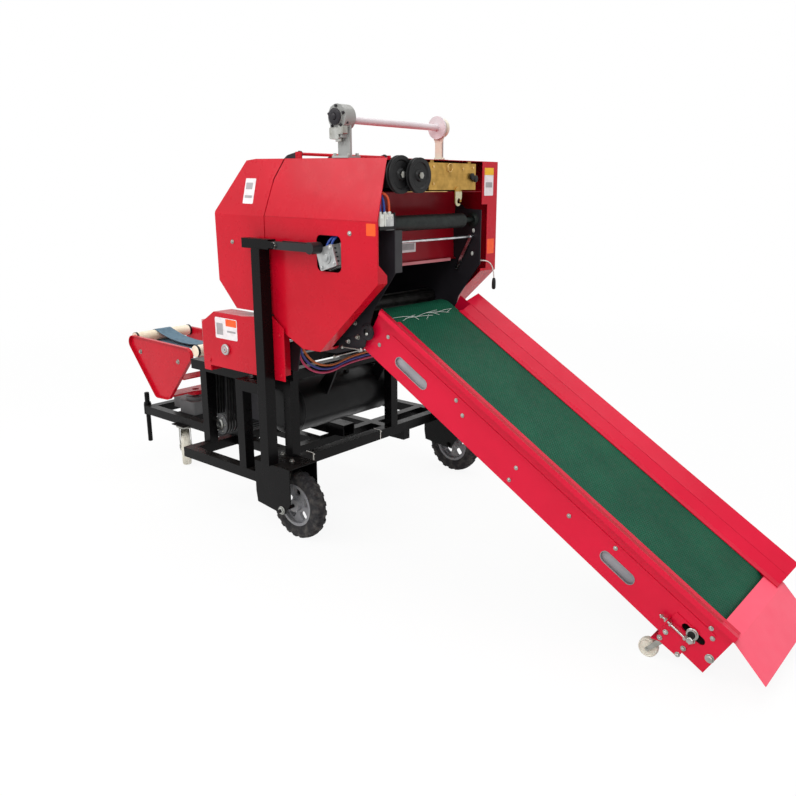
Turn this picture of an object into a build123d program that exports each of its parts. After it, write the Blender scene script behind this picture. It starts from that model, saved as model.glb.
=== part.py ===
from build123d import *
import os
from math import cos, pi, radians, sin, tan

# Small round silage baler with a wrapping turntable behind and a feed conveyor in front.
# Millimetres. +X runs forward to the conveyor's tail, +Y away from the control post, +Z up.
# The origin is on the floor under the middle of the machine's length and width.

os.makedirs("parts", exist_ok=True)

# Fits: a shaft in its bore, and a piece on its seat
FIT = 0.05
SEAT = 0.3

# Frame of square tube
TUBE = 45
HALF_TUBE = TUBE / 2
FRAME_HALF = 637.5
BASE_TOP = 282
BASE_LOW = BASE_TOP - TUBE
BASE_REAR = -903
MID_CROSS_X = -525
FRONT_CROSS_X = -307.5
MID_RAIL_Y = 220
TAIL_FRAME_HALF = 333
TAIL_FRAME_END = -1657

# Deck that carries the chamber
DECK_TOP = 670
DECK_LOW = DECK_TOP - TUBE
DECK_REAR = -967
DECK_NEAR_Y = -500
DECK_FAR_Y = 130
CROSS_TOP = DECK_TOP + TUBE

# Front wheels and their forks
WHEEL_R = 150
WHEEL_WIDTH = 58
WHEEL_X = -230
HALF_TRACK = 545
HUB_R = 92
HUB_WIDTH = 50
AXLE_R = 8
FORK_PLATE = 4
FORK_TOP = 338
FORK_INNER = 487
FORK_REAR = WHEEL_X - 159
FORK_FRONT = WHEEL_X + 54

# Baling chamber: its side plates stand on both sides of a bale BALE_WIDTH wide
BODY_Y = -240
BALE_WIDTH = 520
PLATE = 4
PLATE_IN = BALE_WIDTH / 2
PLATE_OUT = PLATE_IN + PLATE
CHAMBER_X = -225
CHAMBER_Z = 1190
ROLLER_COUNT = 19
ROLLER_R = 36
ROLLER_PITCH_R = 309
FIRST_ROLLER_DEG = 4.5
LAST_ROLLER_DEG = 322

# Sheet covers on both sides of the chamber
SKIN = 2
COVER_HALF = 355
FAR_COVER_HALF = 370
COVER_TOP = 1556
CREASE_Z = 1340
COVER_LEAN = 55
FAR_COVER_ROUND = 22
SEAM_GAP = 6

# Gate hinge, on the roof
HINGE_X = CHAMBER_X + 2
HINGE_Z = COVER_TOP + 18
HINGE_R = 6
HINGE_EYE_R = 12

# Feed conveyor, measured down its belt from a point in the middle of the belt's top
SLOPE = 30.3
CONV_X = 785
CONV_Z = 640
BELT_T = 3
BELT_WIDTH = 384
DRUM_R = 72
HEAD_S = -700
TAIL_S = 835
SHAFT_W = -DRUM_R - BELT_T
SHAFT_R = 12
WEB_HALF = 246
WEB_DEPTH = 156
RIM_HALF = 303
RIM_RISE = 56
BEAM_END_S = 931
FLARE_HEAD_S = -662
CONV_SHEET = 3

# Wrapping turntable
TABLE_X = -1357
TABLE_HALF = 170
TABLE_SHEET = 4
TABLE_ROLLER_SPAN = 520
TABLE_ROLLER_R = 28
TABLE_ROLLER_Z = 668
TABLE_LOW = 392

# Casters: wheel radius, wheel width, height of the plate above, trail
REAR_CASTER = {"r": 100, "w": 46, "top": BASE_LOW - 4, "trail": 45, "plate": 4}
TAIL_CASTER = {"r": 33, "w": 24, "top": 88, "trail": 52, "plate": 3}
CASTER_GAP = 0.3

FAR_AWAY = 2500


def side_plane(y):
    """A plane across the machine at y, with its x along +X and its y along +Z."""
    return Plane.XZ.offset(-y)


def add_box(x0, x1, y0, y1, z0, z1, mode=Mode.ADD):
    """A box between two opposite corners, in the part that is open."""
    with Locations(((x0 + x1) / 2, (y0 + y1) / 2, (z0 + z1) / 2)):
        Box(x1 - x0, y1 - y0, z1 - z0, mode=mode)


def add_plate(points, y0, y1, mode=Mode.ADD):
    """A flat plate with an outline in X and Z, between two values of y."""
    with BuildSketch(side_plane(y1)) as outline:
        with BuildLine():
            Polyline(*points, close=True)
        make_face()
    extrude(outline.sketch, amount=y1 - y0, mode=mode)


def add_rod_y(x, z, y0, y1, r, mode=Mode.ADD):
    """A round bar along Y."""
    with BuildSketch(side_plane(y1)) as end_face:
        with Locations((x, z)):
            Circle(r)
    extrude(end_face.sketch, amount=y1 - y0, mode=mode)


def add_slot_plate(x0, z0, x1, z1, width, y0, y1, mode=Mode.ADD):
    """A flat bar with round ends between two points, or a slot cut like one."""
    with BuildSketch(side_plane(y1)) as bar:
        SlotCenterPoint(((x0 + x1) / 2, (z0 + z1) / 2), (x1, z1), width)
    extrude(bar.sketch, amount=y1 - y0, mode=mode)


def save(solid, name):
    """Name a solid and write its file."""
    solid.label = name
    export_step(solid, f"parts/{name}.step")


# Base frame: two long rails, a middle rail, cross members and a narrower tail frame with the
# plates of its casters. The rails and the front cross end against the wheel forks.
FRONT_SPAN = FORK_INNER - SEAT
base_bars = [
    # x0, x1, y0, y1, z0
    (BASE_REAR, FORK_REAR - SEAT, -FRAME_HALF, -FRAME_HALF + TUBE, BASE_LOW),
    (BASE_REAR, FORK_REAR - SEAT, FRAME_HALF - TUBE, FRAME_HALF, BASE_LOW),
    (BASE_REAR, FRONT_CROSS_X + HALF_TUBE, MID_RAIL_Y - HALF_TUBE, MID_RAIL_Y + HALF_TUBE, BASE_LOW),
    (BASE_REAR, BASE_REAR + TUBE, -FRAME_HALF, FRAME_HALF, BASE_LOW),
    (MID_CROSS_X - HALF_TUBE, MID_CROSS_X + HALF_TUBE, -FRAME_HALF, FRAME_HALF, BASE_LOW),
    (FRONT_CROSS_X - HALF_TUBE, FRONT_CROSS_X + HALF_TUBE, -FRONT_SPAN, FRONT_SPAN, BASE_TOP),
    (TAIL_FRAME_END, BASE_REAR, -TAIL_FRAME_HALF - HALF_TUBE, -TAIL_FRAME_HALF + HALF_TUBE, BASE_LOW),
    (TAIL_FRAME_END, BASE_REAR, TAIL_FRAME_HALF - HALF_TUBE, TAIL_FRAME_HALF + HALF_TUBE, BASE_LOW),
    (TAIL_FRAME_END, TAIL_FRAME_END + TUBE, -TAIL_FRAME_HALF, TAIL_FRAME_HALF, BASE_LOW),
    (TABLE_X - 70, TABLE_X + 70, -TAIL_FRAME_HALF, TAIL_FRAME_HALF, BASE_LOW),
]
MOTOR_RAILS_Y = (-350, -140)
REAR_SWIVEL_X = TABLE_X + 16
fork_outline = [
    (FORK_REAR, FORK_TOP),
    (FORK_REAR, WHEEL_R + 50),
    (FORK_REAR + 8, WHEEL_R + 2),
    (WHEEL_X - 36, WHEEL_R - 12),
    (WHEEL_X + 20, WHEEL_R - 12),
    (FORK_FRONT, WHEEL_R + 40),
    (FORK_FRONT, FORK_TOP),
]
COLLAR_X = TAIL_FRAME_END - 15
COLLAR_R = 20
TOW_PIN_R = 13
TOW_SHANK_R = 12
COLLAR_TOP = BASE_TOP + 6
with BuildPart() as base_frame:
    for x0, x1, y0, y1, z0 in base_bars:
        add_box(x0, x1, y0, y1, z0, z0 + TUBE)
    for rail_y in MOTOR_RAILS_Y:
        add_box(BASE_REAR, MID_CROSS_X, rail_y - HALF_TUBE, rail_y + HALF_TUBE, BASE_LOW, BASE_TOP)
    for side in (-1, 1):
        swivel_y = side * TAIL_FRAME_HALF
        near, far = swivel_y - 42, swivel_y + 42
        add_box(REAR_SWIVEL_X - 52, REAR_SWIVEL_X + 52, near, far, BASE_LOW - 4, BASE_LOW)
    with Locations((COLLAR_X, -TAIL_FRAME_HALF, (BASE_LOW - 6 + COLLAR_TOP) / 2)):
        Cylinder(COLLAR_R, TUBE + 12)
        Cylinder(TOW_SHANK_R + FIT, TUBE + 20, mode=Mode.SUBTRACT)
save(base_frame.part, "base_frame")

# Wheel forks: a bent plate over each front wheel, with the wheel's axle bolt through it
for place, side in (("near", -1), ("far", 1)):
    near, far = sorted((side * FORK_INNER, side * (FRAME_HALF + FORK_PLATE)))
    with BuildPart() as wheel_fork:
        add_plate(fork_outline, near, near + FORK_PLATE)
        add_plate(fork_outline, far - FORK_PLATE, far)
        add_box(FORK_REAR, FORK_FRONT, near, far, FORK_TOP - FORK_PLATE, FORK_TOP)
        add_box(FORK_REAR, FORK_REAR + FORK_PLATE, near, far, WHEEL_R + 50, FORK_TOP)
        add_rod_y(WHEEL_X, WHEEL_R, near - 14, far + 14, AXLE_R)
        for head in (near - 9, far):
            with BuildSketch(side_plane(head + 9)) as bolt_head:
                with Locations((WHEEL_X, WHEEL_R)):
                    RegularPolygon(13, 6)
            extrude(bolt_head.sketch, amount=9)
    save(wheel_fork.part, f"wheel_fork_{place}")

# Tow pin: a shank in the collar at the tail frame's corner, a ring that rests on the collar and
# the thicker pin above it
TOW_PIN_LOW = 75
RING_LOW = COLLAR_TOP + SEAT
TOW_PIN_TOP = RING_LOW + 63
with BuildPart() as tow_pin:
    for radius, low, high in (
        (TOW_SHANK_R, TOW_PIN_LOW, RING_LOW),
        (COLLAR_R - 2, RING_LOW, RING_LOW + 8),
        (TOW_PIN_R, RING_LOW + 8, TOW_PIN_TOP),
    ):
        with Locations((COLLAR_X, -TAIL_FRAME_HALF, (low + high) / 2)):
            Cylinder(radius, high - low)
    chamfer(tow_pin.edges().group_by(Axis.Z)[-1], 3)
    chamfer(tow_pin.edges().group_by(Axis.Z)[0], 3)
save(tow_pin.part, "tow_pin")

# Deck: two rails on uprights with cross members, and an outrigger that reaches the post
POST_SIZE = 50
POST_X = FRONT_CROSS_X + 5.5
POST_Y = -634
OUTRIGGER_X = -475
REAR_COLUMN_X = BASE_REAR + HALF_TUBE
DECK_FRONT = FRONT_CROSS_X + HALF_TUBE
CROSS_SPAN = (DECK_NEAR_Y - 5, DECK_FAR_Y + HALF_TUBE)
deck_bars = [
    # x0, x1, y0, y1, z0, z1
    (DECK_REAR, DECK_FRONT, DECK_NEAR_Y - HALF_TUBE, DECK_NEAR_Y + HALF_TUBE, DECK_LOW, DECK_TOP),
    (DECK_REAR, DECK_FRONT, DECK_FAR_Y - HALF_TUBE, DECK_FAR_Y + HALF_TUBE, DECK_LOW, DECK_TOP),
    (DECK_REAR, DECK_REAR + TUBE, DECK_NEAR_Y, DECK_FAR_Y, DECK_LOW, DECK_TOP),
    (MID_CROSS_X - HALF_TUBE, MID_CROSS_X + HALF_TUBE, *CROSS_SPAN, DECK_TOP, CROSS_TOP),
    (FRONT_CROSS_X - HALF_TUBE, DECK_FRONT, *CROSS_SPAN, DECK_TOP, CROSS_TOP),
    (OUTRIGGER_X - HALF_TUBE, OUTRIGGER_X + HALF_TUBE, -FRAME_HALF, DECK_NEAR_Y, DECK_LOW, DECK_TOP),
    (OUTRIGGER_X, POST_X - POST_SIZE / 2 - SEAT, -FRAME_HALF, -FRAME_HALF + TUBE, DECK_LOW, DECK_TOP),
]
deck_columns = [
    # x, y, z0
    (REAR_COLUMN_X, DECK_NEAR_Y, BASE_TOP + SEAT),
    (REAR_COLUMN_X, DECK_FAR_Y, BASE_TOP + SEAT),
    (OUTRIGGER_X, -FRAME_HALF + HALF_TUBE, BASE_TOP + SEAT),
    (FRONT_CROSS_X, DECK_NEAR_Y, FORK_TOP + SEAT),
    (FRONT_CROSS_X, DECK_FAR_Y, BASE_TOP + TUBE + SEAT),
]
with BuildPart() as deck_frame:
    for x0, x1, y0, y1, z0, z1 in deck_bars:
        add_box(x0, x1, y0, y1, z0, z1)
    for x, y, z0 in deck_columns:
        add_box(x - HALF_TUBE, x + HALF_TUBE, y - HALF_TUBE, y + HALF_TUBE, z0, DECK_TOP)
save(deck_frame.part, "deck_frame")

# Front wheels: a rubber tyre on a cast hub with five spokes
for place, side in (("near", -1), ("far", 1)):
    wheel_place = Location((WHEEL_X, side * HALF_TRACK, WHEEL_R))
    half = WHEEL_WIDTH / 2
    with BuildPart() as tyre:
        with BuildSketch(Plane.XY) as tread:
            with BuildLine():
                Polyline(
                    (HUB_R + SEAT, -half + 6),
                    (HUB_R + 14, -half),
                    (WHEEL_R - 16, -half),
                    (WHEEL_R - 4, -half + 7),
                    (WHEEL_R, 0),
                    (WHEEL_R - 4, half - 7),
                    (WHEEL_R - 16, half),
                    (HUB_R + 14, half),
                    (HUB_R + SEAT, half - 6),
                    close=True,
                )
            make_face()
        revolve(axis=Axis.Y)
    save(tyre.part.moved(wheel_place), f"front_tyre_{place}")

    with BuildPart() as hub:
        with BuildSketch(side_plane(HUB_WIDTH / 2)) as rim:
            Circle(HUB_R)
            Circle(HUB_R - 12, mode=Mode.SUBTRACT)
        extrude(rim.sketch, amount=HUB_WIDTH)
        with BuildSketch(side_plane(8)) as web:
            Circle(HUB_R - 6)
            with PolarLocations(54, 5, start_angle=90):
                RectangleRounded(34, 36, 9, mode=Mode.SUBTRACT)
        extrude(web.sketch, amount=16)
        with BuildSketch(side_plane(HUB_WIDTH / 2 + 8)) as nave:
            Circle(27)
        extrude(nave.sketch, amount=HUB_WIDTH + 16)
        add_rod_y(0, 0, -HUB_WIDTH, HUB_WIDTH, AXLE_R + FIT, mode=Mode.SUBTRACT)
    save(hub.part.moved(wheel_place), f"front_hub_{place}")

# Casters: a two-leg fork that swivels under its plate, and a wheel. The turn is the swivel's
# angle as the machine stands, about +Z from the wheel trailing along +X.
TAIL_SWIVEL_X = 1370
TAIL_SWIVEL_OUT = 210
caster_table = [
    # name, size, x and y of the swivel, turn
    ("rear_near", REAR_CASTER, REAR_SWIVEL_X, -TAIL_FRAME_HALF, 146),
    ("rear_far", REAR_CASTER, REAR_SWIVEL_X, TAIL_FRAME_HALF, 180),
    ("tail_near", TAIL_CASTER, TAIL_SWIVEL_X, BODY_Y - TAIL_SWIVEL_OUT, 180),
    ("tail_far", TAIL_CASTER, TAIL_SWIVEL_X, BODY_Y + TAIL_SWIVEL_OUT, 180),
]
for name, size, x, y, turn in caster_table:
    r = size["r"]
    w = size["w"]
    trail = size["trail"]
    leg_t = size["plate"]
    race_r = r * 0.42
    race_t = r * 0.08
    fork_top = size["top"] - CASTER_GAP
    leg_y = w / 2 + 3
    axle_r = r * 0.1
    leg_line = [
        (-race_r, fork_top - race_t),
        (trail - axle_r * 2, r - axle_r * 1.5),
        (trail, r - axle_r * 2.2),
        (trail + axle_r * 2, r),
        (race_r, fork_top - race_t),
    ]
    swivel_place = Location((x, y, 0), (0, 0, turn))
    with BuildPart() as caster_fork:
        with Locations((0, 0, fork_top - race_t / 2)):
            Cylinder(race_r, race_t)
        leg_top = fork_top - race_t
        add_box(-race_r, race_r, -leg_y - leg_t, leg_y + leg_t, leg_top - leg_t, leg_top)
        for leg in (-leg_y - leg_t, leg_y):
            add_plate(leg_line, leg, leg + leg_t)
        add_rod_y(trail, r, -leg_y - leg_t - 3, leg_y + leg_t + 3, axle_r)
    save(caster_fork.part.moved(swivel_place), f"caster_fork_{name}")

    with BuildPart() as caster_wheel:
        with BuildSketch(Plane.XY) as wheel_section:
            with BuildLine():
                Polyline(
                    (axle_r + FIT, -w / 2 - 2),
                    (r * 0.3, -w / 2 - 2),
                    (r * 0.34, -w / 2 + 3),
                    (r * 0.78, -w / 2 + 3),
                    (r * 0.86, -w / 2),
                    (r * 0.96, -w * 0.42),
                    (r, -w * 0.2),
                    (r, w * 0.2),
                    (r * 0.96, w * 0.42),
                    (r * 0.86, w / 2),
                    (r * 0.78, w / 2 - 3),
                    (r * 0.34, w / 2 - 3),
                    (r * 0.3, w / 2 + 2),
                    (axle_r + FIT, w / 2 + 2),
                    close=True,
                )
            make_face()
        revolve(axis=Axis.Y)
    save(caster_wheel.part.moved(swivel_place * Location((trail, 0, r))), f"caster_wheel_{name}")

# Control post beside the chamber, with a head bar whose end lug carries the film arm
HEAD_BAR = 38
HEAD_BAR_Z = 1239
HEAD_BAR_REAR = POST_X - 86
HEAD_BAR_FRONT = POST_X + 71
ARM_HINGE_X = HEAD_BAR_FRONT + 43
ARM_LENGTH = 190
ARM_CHEEK = 5
ARM_GAP = 1
ARM_BOLT_R = 6
with BuildPart() as control_post:
    post_y0 = POST_Y - POST_SIZE / 2
    post_x0 = POST_X - POST_SIZE / 2
    head_low = HEAD_BAR_Z - HEAD_BAR / 2
    add_box(post_x0, post_x0 + POST_SIZE, post_y0, post_y0 + POST_SIZE, FORK_TOP + SEAT, head_low)
    head_y = (POST_Y - HEAD_BAR / 2, POST_Y + HEAD_BAR / 2)
    add_box(HEAD_BAR_REAR, HEAD_BAR_FRONT, *head_y, head_low, head_low + HEAD_BAR)
    add_box(HEAD_BAR_FRONT, ARM_HINGE_X + 12, *head_y, HEAD_BAR_Z - 13, HEAD_BAR_Z + 13)
    bolt_reach = HEAD_BAR / 2 + ARM_GAP + ARM_CHEEK
    add_rod_y(ARM_HINGE_X, HEAD_BAR_Z, POST_Y - bolt_reach - 8, POST_Y + bolt_reach + 1, ARM_BOLT_R)
    add_rod_y(ARM_HINGE_X, HEAD_BAR_Z, POST_Y - bolt_reach - 8, POST_Y - bolt_reach - 1, 11)
save(control_post.part, "control_post")

# Film arm: two flat cheeks hinged on the post's head, with a round boss between their ends
with BuildPart() as film_arm:
    arm_end_x = ARM_HINGE_X + ARM_LENGTH
    for cheek in (POST_Y - bolt_reach, POST_Y + HEAD_BAR / 2 + ARM_GAP):
        add_slot_plate(ARM_HINGE_X, HEAD_BAR_Z, arm_end_x, HEAD_BAR_Z, 30, cheek, cheek + ARM_CHEEK)
    add_rod_y(arm_end_x, HEAD_BAR_Z, POST_Y - bolt_reach, POST_Y + bolt_reach, 22)
    add_rod_y(ARM_HINGE_X, HEAD_BAR_Z, POST_Y - 99, POST_Y + 99, ARM_BOLT_R + FIT, mode=Mode.SUBTRACT)
save(film_arm.part, "film_arm")

# The seam between the fixed chamber and its rear gate, from the roof down. The covers and the
# side plates share its upper part and part ways where the plates reach under the bale.
upper_seam = [(-10, 385), (-65, 290), (-90, 150), (-90, 60)]
plate_seam = [(CHAMBER_X + dx, CHAMBER_Z + dz) for dx, dz in upper_seam + [(-52, -345)]]
cover_seam = [(CHAMBER_X + dx, CHAMBER_Z + dz) for dx, dz in upper_seam + [(-85, -240)]]


def behind(line, gap):
    """The outline of everything behind a seam, up to half a gap away from it."""
    shifted = [(x - gap / 2, z) for x, z in line]
    return (
        [(-FAR_AWAY, FAR_AWAY), (shifted[0][0], FAR_AWAY)]
        + shifted
        + [(shifted[-1][0], -FAR_AWAY), (-FAR_AWAY, -FAR_AWAY)]
    )


def ahead(line, gap):
    """The outline of everything ahead of a seam, from half a gap away from it."""
    shifted = [(x + gap / 2, z) for x, z in line]
    return (
        [(FAR_AWAY, FAR_AWAY), (shifted[0][0], FAR_AWAY)]
        + shifted
        + [(shifted[-1][0], -FAR_AWAY), (FAR_AWAY, -FAR_AWAY)]
    )


# Side covers: sheet boxes split at the seam. The near ones lean in above a crease, the far ones
# stand upright. The fixed near one is cut round the drive hood and has a window over a cylinder.
COVER_FRONT_X = CHAMBER_X + 504
cover_rear = [(-189, 366), (-246, 360), (-399, 160), (-394, -120), (-288, -229), (-85, -229)]
cover_front = [(202, -347), (504, -65), (504, 366)]
hood_side = [(-60, -229), (11, -303), (106, -348)]
plain_side = [(0, -290), (89, -361)]
WINDOW = (-26, 101, 1152, 1284)


def cover_block(outline, far_side, inset):
    """A cover as a solid built on the near side, or the space inside its sheet with an inset."""
    points = [(CHAMBER_X + dx, CHAMBER_Z + dz) for dx, dz in outline]
    outer_y = BODY_Y - (FAR_COVER_HALF if far_side else COVER_HALF) + inset
    inner_y = BODY_Y - PLATE_OUT - SEAT + (1 if inset else 0)
    lean = 0 if far_side else COVER_LEAN
    top = COVER_TOP - inset
    with BuildPart() as block:
        with BuildSketch(side_plane(inner_y)) as face:
            with BuildLine():
                Polyline(*points, close=True)
            make_face()
            if inset:
                offset(amount=-inset, kind=Kind.INTERSECTION)
        extrude(face.sketch, amount=inner_y - outer_y)
        with BuildSketch(Plane.YZ.offset(-FAR_AWAY)) as profile:
            with BuildLine():
                Polyline(
                    (inner_y + 2, 0),
                    (outer_y, 0),
                    (outer_y, CREASE_Z),
                    (outer_y + lean, top),
                    (inner_y + 2, top),
                    close=True,
                )
            make_face()
            if far_side:
                corner = profile.vertices().sort_by_distance((-FAR_AWAY, outer_y, top))[0]
                fillet(corner, FAR_COVER_ROUND - inset)
        extrude(profile.sketch, amount=2 * FAR_AWAY, mode=Mode.INTERSECT)
    return block.part


# Where the fixed covers are open in front, as outlines in y and z on the near side: the near
# one from its edge down to a gusset, the far one only beside the feed roller
edge_y = BODY_Y - COVER_HALF + 6
near_opening = [
    (edge_y, CHAMBER_Z + 2),
    (edge_y + 44, CHAMBER_Z - 37),
    (edge_y + 44, CHAMBER_Z - 400),
    (BODY_Y, CHAMBER_Z - 400),
    (BODY_Y, COVER_TOP - 8),
    (edge_y + 46, COVER_TOP - 8),
    (edge_y, CREASE_Z + 8),
]
far_opening = [
    (BODY_Y - 303, CHAMBER_Z - 55),
    (BODY_Y, CHAMBER_Z - 55),
    (BODY_Y, CHAMBER_Z + 200),
    (BODY_Y - 303, CHAMBER_Z + 200),
]


def cover_pair(near_line, far_line, keep, fixed):
    """The near and the far cover of one side of the seam, as one part of two solids."""
    solids = []
    for line, far_side in ((near_line, False), (far_line, True)):
        with BuildPart() as cover:
            add(cover_block(line, far_side, 0) - cover_block(line, far_side, SKIN))
            add_plate(keep, BODY_Y - 500, BODY_Y, mode=Mode.INTERSECT)
            if fixed:
                opened = far_opening if far_side else near_opening
                depth = 40 if far_side else COVER_FRONT_X + 22
                with BuildSketch(Plane.YZ.offset(COVER_FRONT_X + 10 - depth)) as front_opening:
                    with BuildLine():
                        Polyline(*opened, close=True)
                    make_face()
                extrude(front_opening.sketch, amount=depth, mode=Mode.SUBTRACT)
            if fixed and not far_side:
                x0, x1, z0, z1 = WINDOW
                with BuildSketch(side_plane(BODY_Y - COVER_HALF + 10)) as opening:
                    with Locations(((x0 + x1) / 2, (z0 + z1) / 2)):
                        RectangleRounded(x1 - x0, z1 - z0, 22)
                extrude(opening.sketch, amount=20, mode=Mode.SUBTRACT)
        solid = cover.part.solids().sort_by(SortBy.VOLUME)[-1]
        if far_side:
            solid = solid.mirror(Plane.XZ.offset(-BODY_Y))
        solids.append(solid)
    return Compound(children=solids)


near_outline = cover_rear + hood_side + cover_front
far_outline = cover_rear + plain_side + cover_front
save(cover_pair(near_outline, far_outline, ahead(cover_seam, SEAM_GAP), True), "side_covers")
save(cover_pair(near_outline, far_outline, behind(cover_seam, SEAM_GAP), False), "gate_covers")

# Chamber plates: the two fixed inner side plates. They stand on the deck's cross members and
# carry the rollers and the conveyor.
FOOT_REAR = MID_CROSS_X - 20
FOOT_FRONT = FRONT_CROSS_X + HALF_TUBE + 30
fixed_plate = [
    (CHAMBER_X + 385, COVER_TOP),
    (CHAMBER_X + 385, CHAMBER_Z + 210),
    (CHAMBER_X + 425, CHAMBER_Z + 183),
    (COVER_FRONT_X, CHAMBER_Z + 179),
    (COVER_FRONT_X, CHAMBER_Z - 35),
    (CHAMBER_X + 397, CHAMBER_Z - 177),
    (CHAMBER_X + 350, CHAMBER_Z - 322),
    (CHAMBER_X + 200, CHAMBER_Z - 368),
    (CHAMBER_X - 10, CHAMBER_Z - 375),
    (FOOT_FRONT, CROSS_TOP + SEAT),
    (FOOT_REAR, CROSS_TOP + SEAT),
    (FOOT_REAR, CROSS_TOP + 85),
    (CHAMBER_X - 80, CROSS_TOP + 85),
]
head_x = CONV_X + HEAD_S * cos(radians(SLOPE)) + SHAFT_W * sin(radians(SLOPE))
head_z = CONV_Z - HEAD_S * sin(radians(SLOPE)) + SHAFT_W * cos(radians(SLOPE))
FEED_ROLLER_X = CHAMBER_X + 464
FEED_ROLLER_Z = CHAMBER_Z + 139
FEED_SHAFT_R = 10
with BuildPart() as chamber_plates:
    for y0 in (BODY_Y - PLATE_OUT, BODY_Y + PLATE_IN):
        front_seam = [(x + SEAM_GAP / 2, z) for x, z in plate_seam]
        top_corner = (HINGE_X - 18, COVER_TOP)
        add_plate(fixed_plate + front_seam[:0:-1] + [top_corner], y0, y0 + PLATE)
    for x, z, r in ((head_x, head_z, SHAFT_R), (FEED_ROLLER_X, FEED_ROLLER_Z, FEED_SHAFT_R)):
        add_rod_y(x, z, BODY_Y - PLATE_OUT - 9, BODY_Y + PLATE_OUT + 9, r + FIT, mode=Mode.SUBTRACT)
save(chamber_plates.part, "chamber_plates")

# Chamber ties: the roof sheet between the plates, with the pin of the gate's hinge on three
# upright lugs, and a tie tube between the plates' feet
TIE_HALF = PLATE_IN - SEAT
with BuildPart() as chamber_ties:
    near, far = BODY_Y - TIE_HALF, BODY_Y + TIE_HALF
    add_box(HINGE_X - 14, COVER_FRONT_X, near, far, COVER_TOP - SKIN, COVER_TOP)
    add_rod_y(FOOT_REAR + 60, CROSS_TOP + 30, near, far, 15)
    for lug_y in (near + 1, BODY_Y - 4, far - 9):
        add_box(HINGE_X - 8, HINGE_X + 22, lug_y, lug_y + 8, COVER_TOP - SKIN, HINGE_Z + 8)
    add_rod_y(HINGE_X, HINGE_Z, near, far, HINGE_R)
save(chamber_ties.part, "chamber_ties")


def seam_x(z):
    """Where the plates' seam lies at a height."""
    for (xa, za), (xb, zb) in zip(plate_seam, plate_seam[1:]):
        if zb <= z <= za:
            return xb + (xa - xb) * (z - zb) / (za - zb)
    return plate_seam[-1][0]


# Bale rollers: fluted drums on a circle, split between the fixed chamber and the gate
roller_step = (LAST_ROLLER_DEG - FIRST_ROLLER_DEG) / (ROLLER_COUNT - 1)
roller_angles = [radians(FIRST_ROLLER_DEG + i * roller_step) for i in range(ROLLER_COUNT)]
roller_centres = [
    (CHAMBER_X + ROLLER_PITCH_R * cos(angle), CHAMBER_Z + ROLLER_PITCH_R * sin(angle))
    for angle in roller_angles
]
JOURNAL_R = 14
FLUTES = 8
for roller_set, in_gate in (("chamber_rollers", False), ("gate_rollers", True)):
    centres = [(x, z) for x, z in roller_centres if (x < seam_x(z)) == in_gate]
    roller_half = PLATE_IN - 8
    with BuildPart() as rollers:
        with BuildSketch(side_plane(BODY_Y + roller_half)) as drums:
            with Locations(*centres):
                Circle(ROLLER_R - 4)
                with PolarLocations(ROLLER_R - 4, FLUTES):
                    Rectangle(8, 7)
        extrude(drums.sketch, amount=2 * roller_half)
        with BuildSketch(side_plane(BODY_Y + PLATE_IN - SEAT)) as journals:
            with Locations(*centres):
                Circle(JOURNAL_R)
        extrude(journals.sketch, amount=2 * (PLATE_IN - SEAT))
    save(rollers.part, roller_set)

# Gate: rear side plates joined by the back sheet, hung by four lugs from the hinge pin
gate_back = cover_rear[:5] + [(-190, -300), (-112, -345)]
gate_rear = [(CHAMBER_X + dx, CHAMBER_Z + dz) for dx, dz in gate_back]
GATE_LUGS = (-PLATE_OUT + 18, -22, 10, PLATE_OUT - 26)
with BuildPart() as gate_shell:
    rear_seam = [(x - SEAM_GAP / 2, z) for x, z in plate_seam]
    side_outline = gate_rear + rear_seam[:0:-1] + [(HINGE_X - 25, COVER_TOP)]
    for y0 in (BODY_Y - PLATE_OUT, BODY_Y + PLATE_IN):
        add_plate(side_outline, y0, y0 + PLATE)
    with BuildSketch(side_plane(BODY_Y + PLATE_OUT)) as back_sheet:
        with BuildLine() as back_line:
            Polyline((HINGE_X - 25, COVER_TOP), *gate_rear, rear_seam[4])
        trace(line_width=SKIN)
    extrude(back_sheet.sketch, amount=2 * PLATE_OUT)
    for lug_y in GATE_LUGS:
        lug_line = [
            (HINGE_X - 92, COVER_TOP - 1),
            (HINGE_X - 27, COVER_TOP - 1),
            (HINGE_X - 16, COVER_TOP + 7),
            (HINGE_X, COVER_TOP + 7),
            (HINGE_X, HINGE_Z + HINGE_EYE_R - 1),
            (HINGE_X - 70, HINGE_Z - 4),
        ]
        add_plate(lug_line, BODY_Y + lug_y, BODY_Y + lug_y + 8)
        add_rod_y(HINGE_X, HINGE_Z, BODY_Y + lug_y, BODY_Y + lug_y + 8, HINGE_EYE_R)
    add_rod_y(HINGE_X, HINGE_Z, BODY_Y - PLATE_OUT, BODY_Y + PLATE_OUT, HINGE_R + FIT, mode=Mode.SUBTRACT)
save(gate_shell.part, "gate_shell")

# Front guard: a bent sheet behind the rubber feed roller, from the front edge to the mouth
with BuildPart() as front_guard:
    guard_line = [
        (COVER_FRONT_X - 2, CHAMBER_Z + 250),
        (CHAMBER_X + 382, CHAMBER_Z + 250),
        (CHAMBER_X + 365, CHAMBER_Z + 110),
        (CHAMBER_X + 368, CHAMBER_Z - 15),
        (CHAMBER_X + 380, CHAMBER_Z - 20),
    ]
    with BuildSketch(side_plane(BODY_Y + PLATE_IN - SEAT)) as guard_section:
        with BuildLine():
            Polyline(*guard_line)
        trace(line_width=SKIN)
    extrude(guard_section.sketch, amount=2 * (PLATE_IN - SEAT))
save(front_guard.part, "front_guard")

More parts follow.
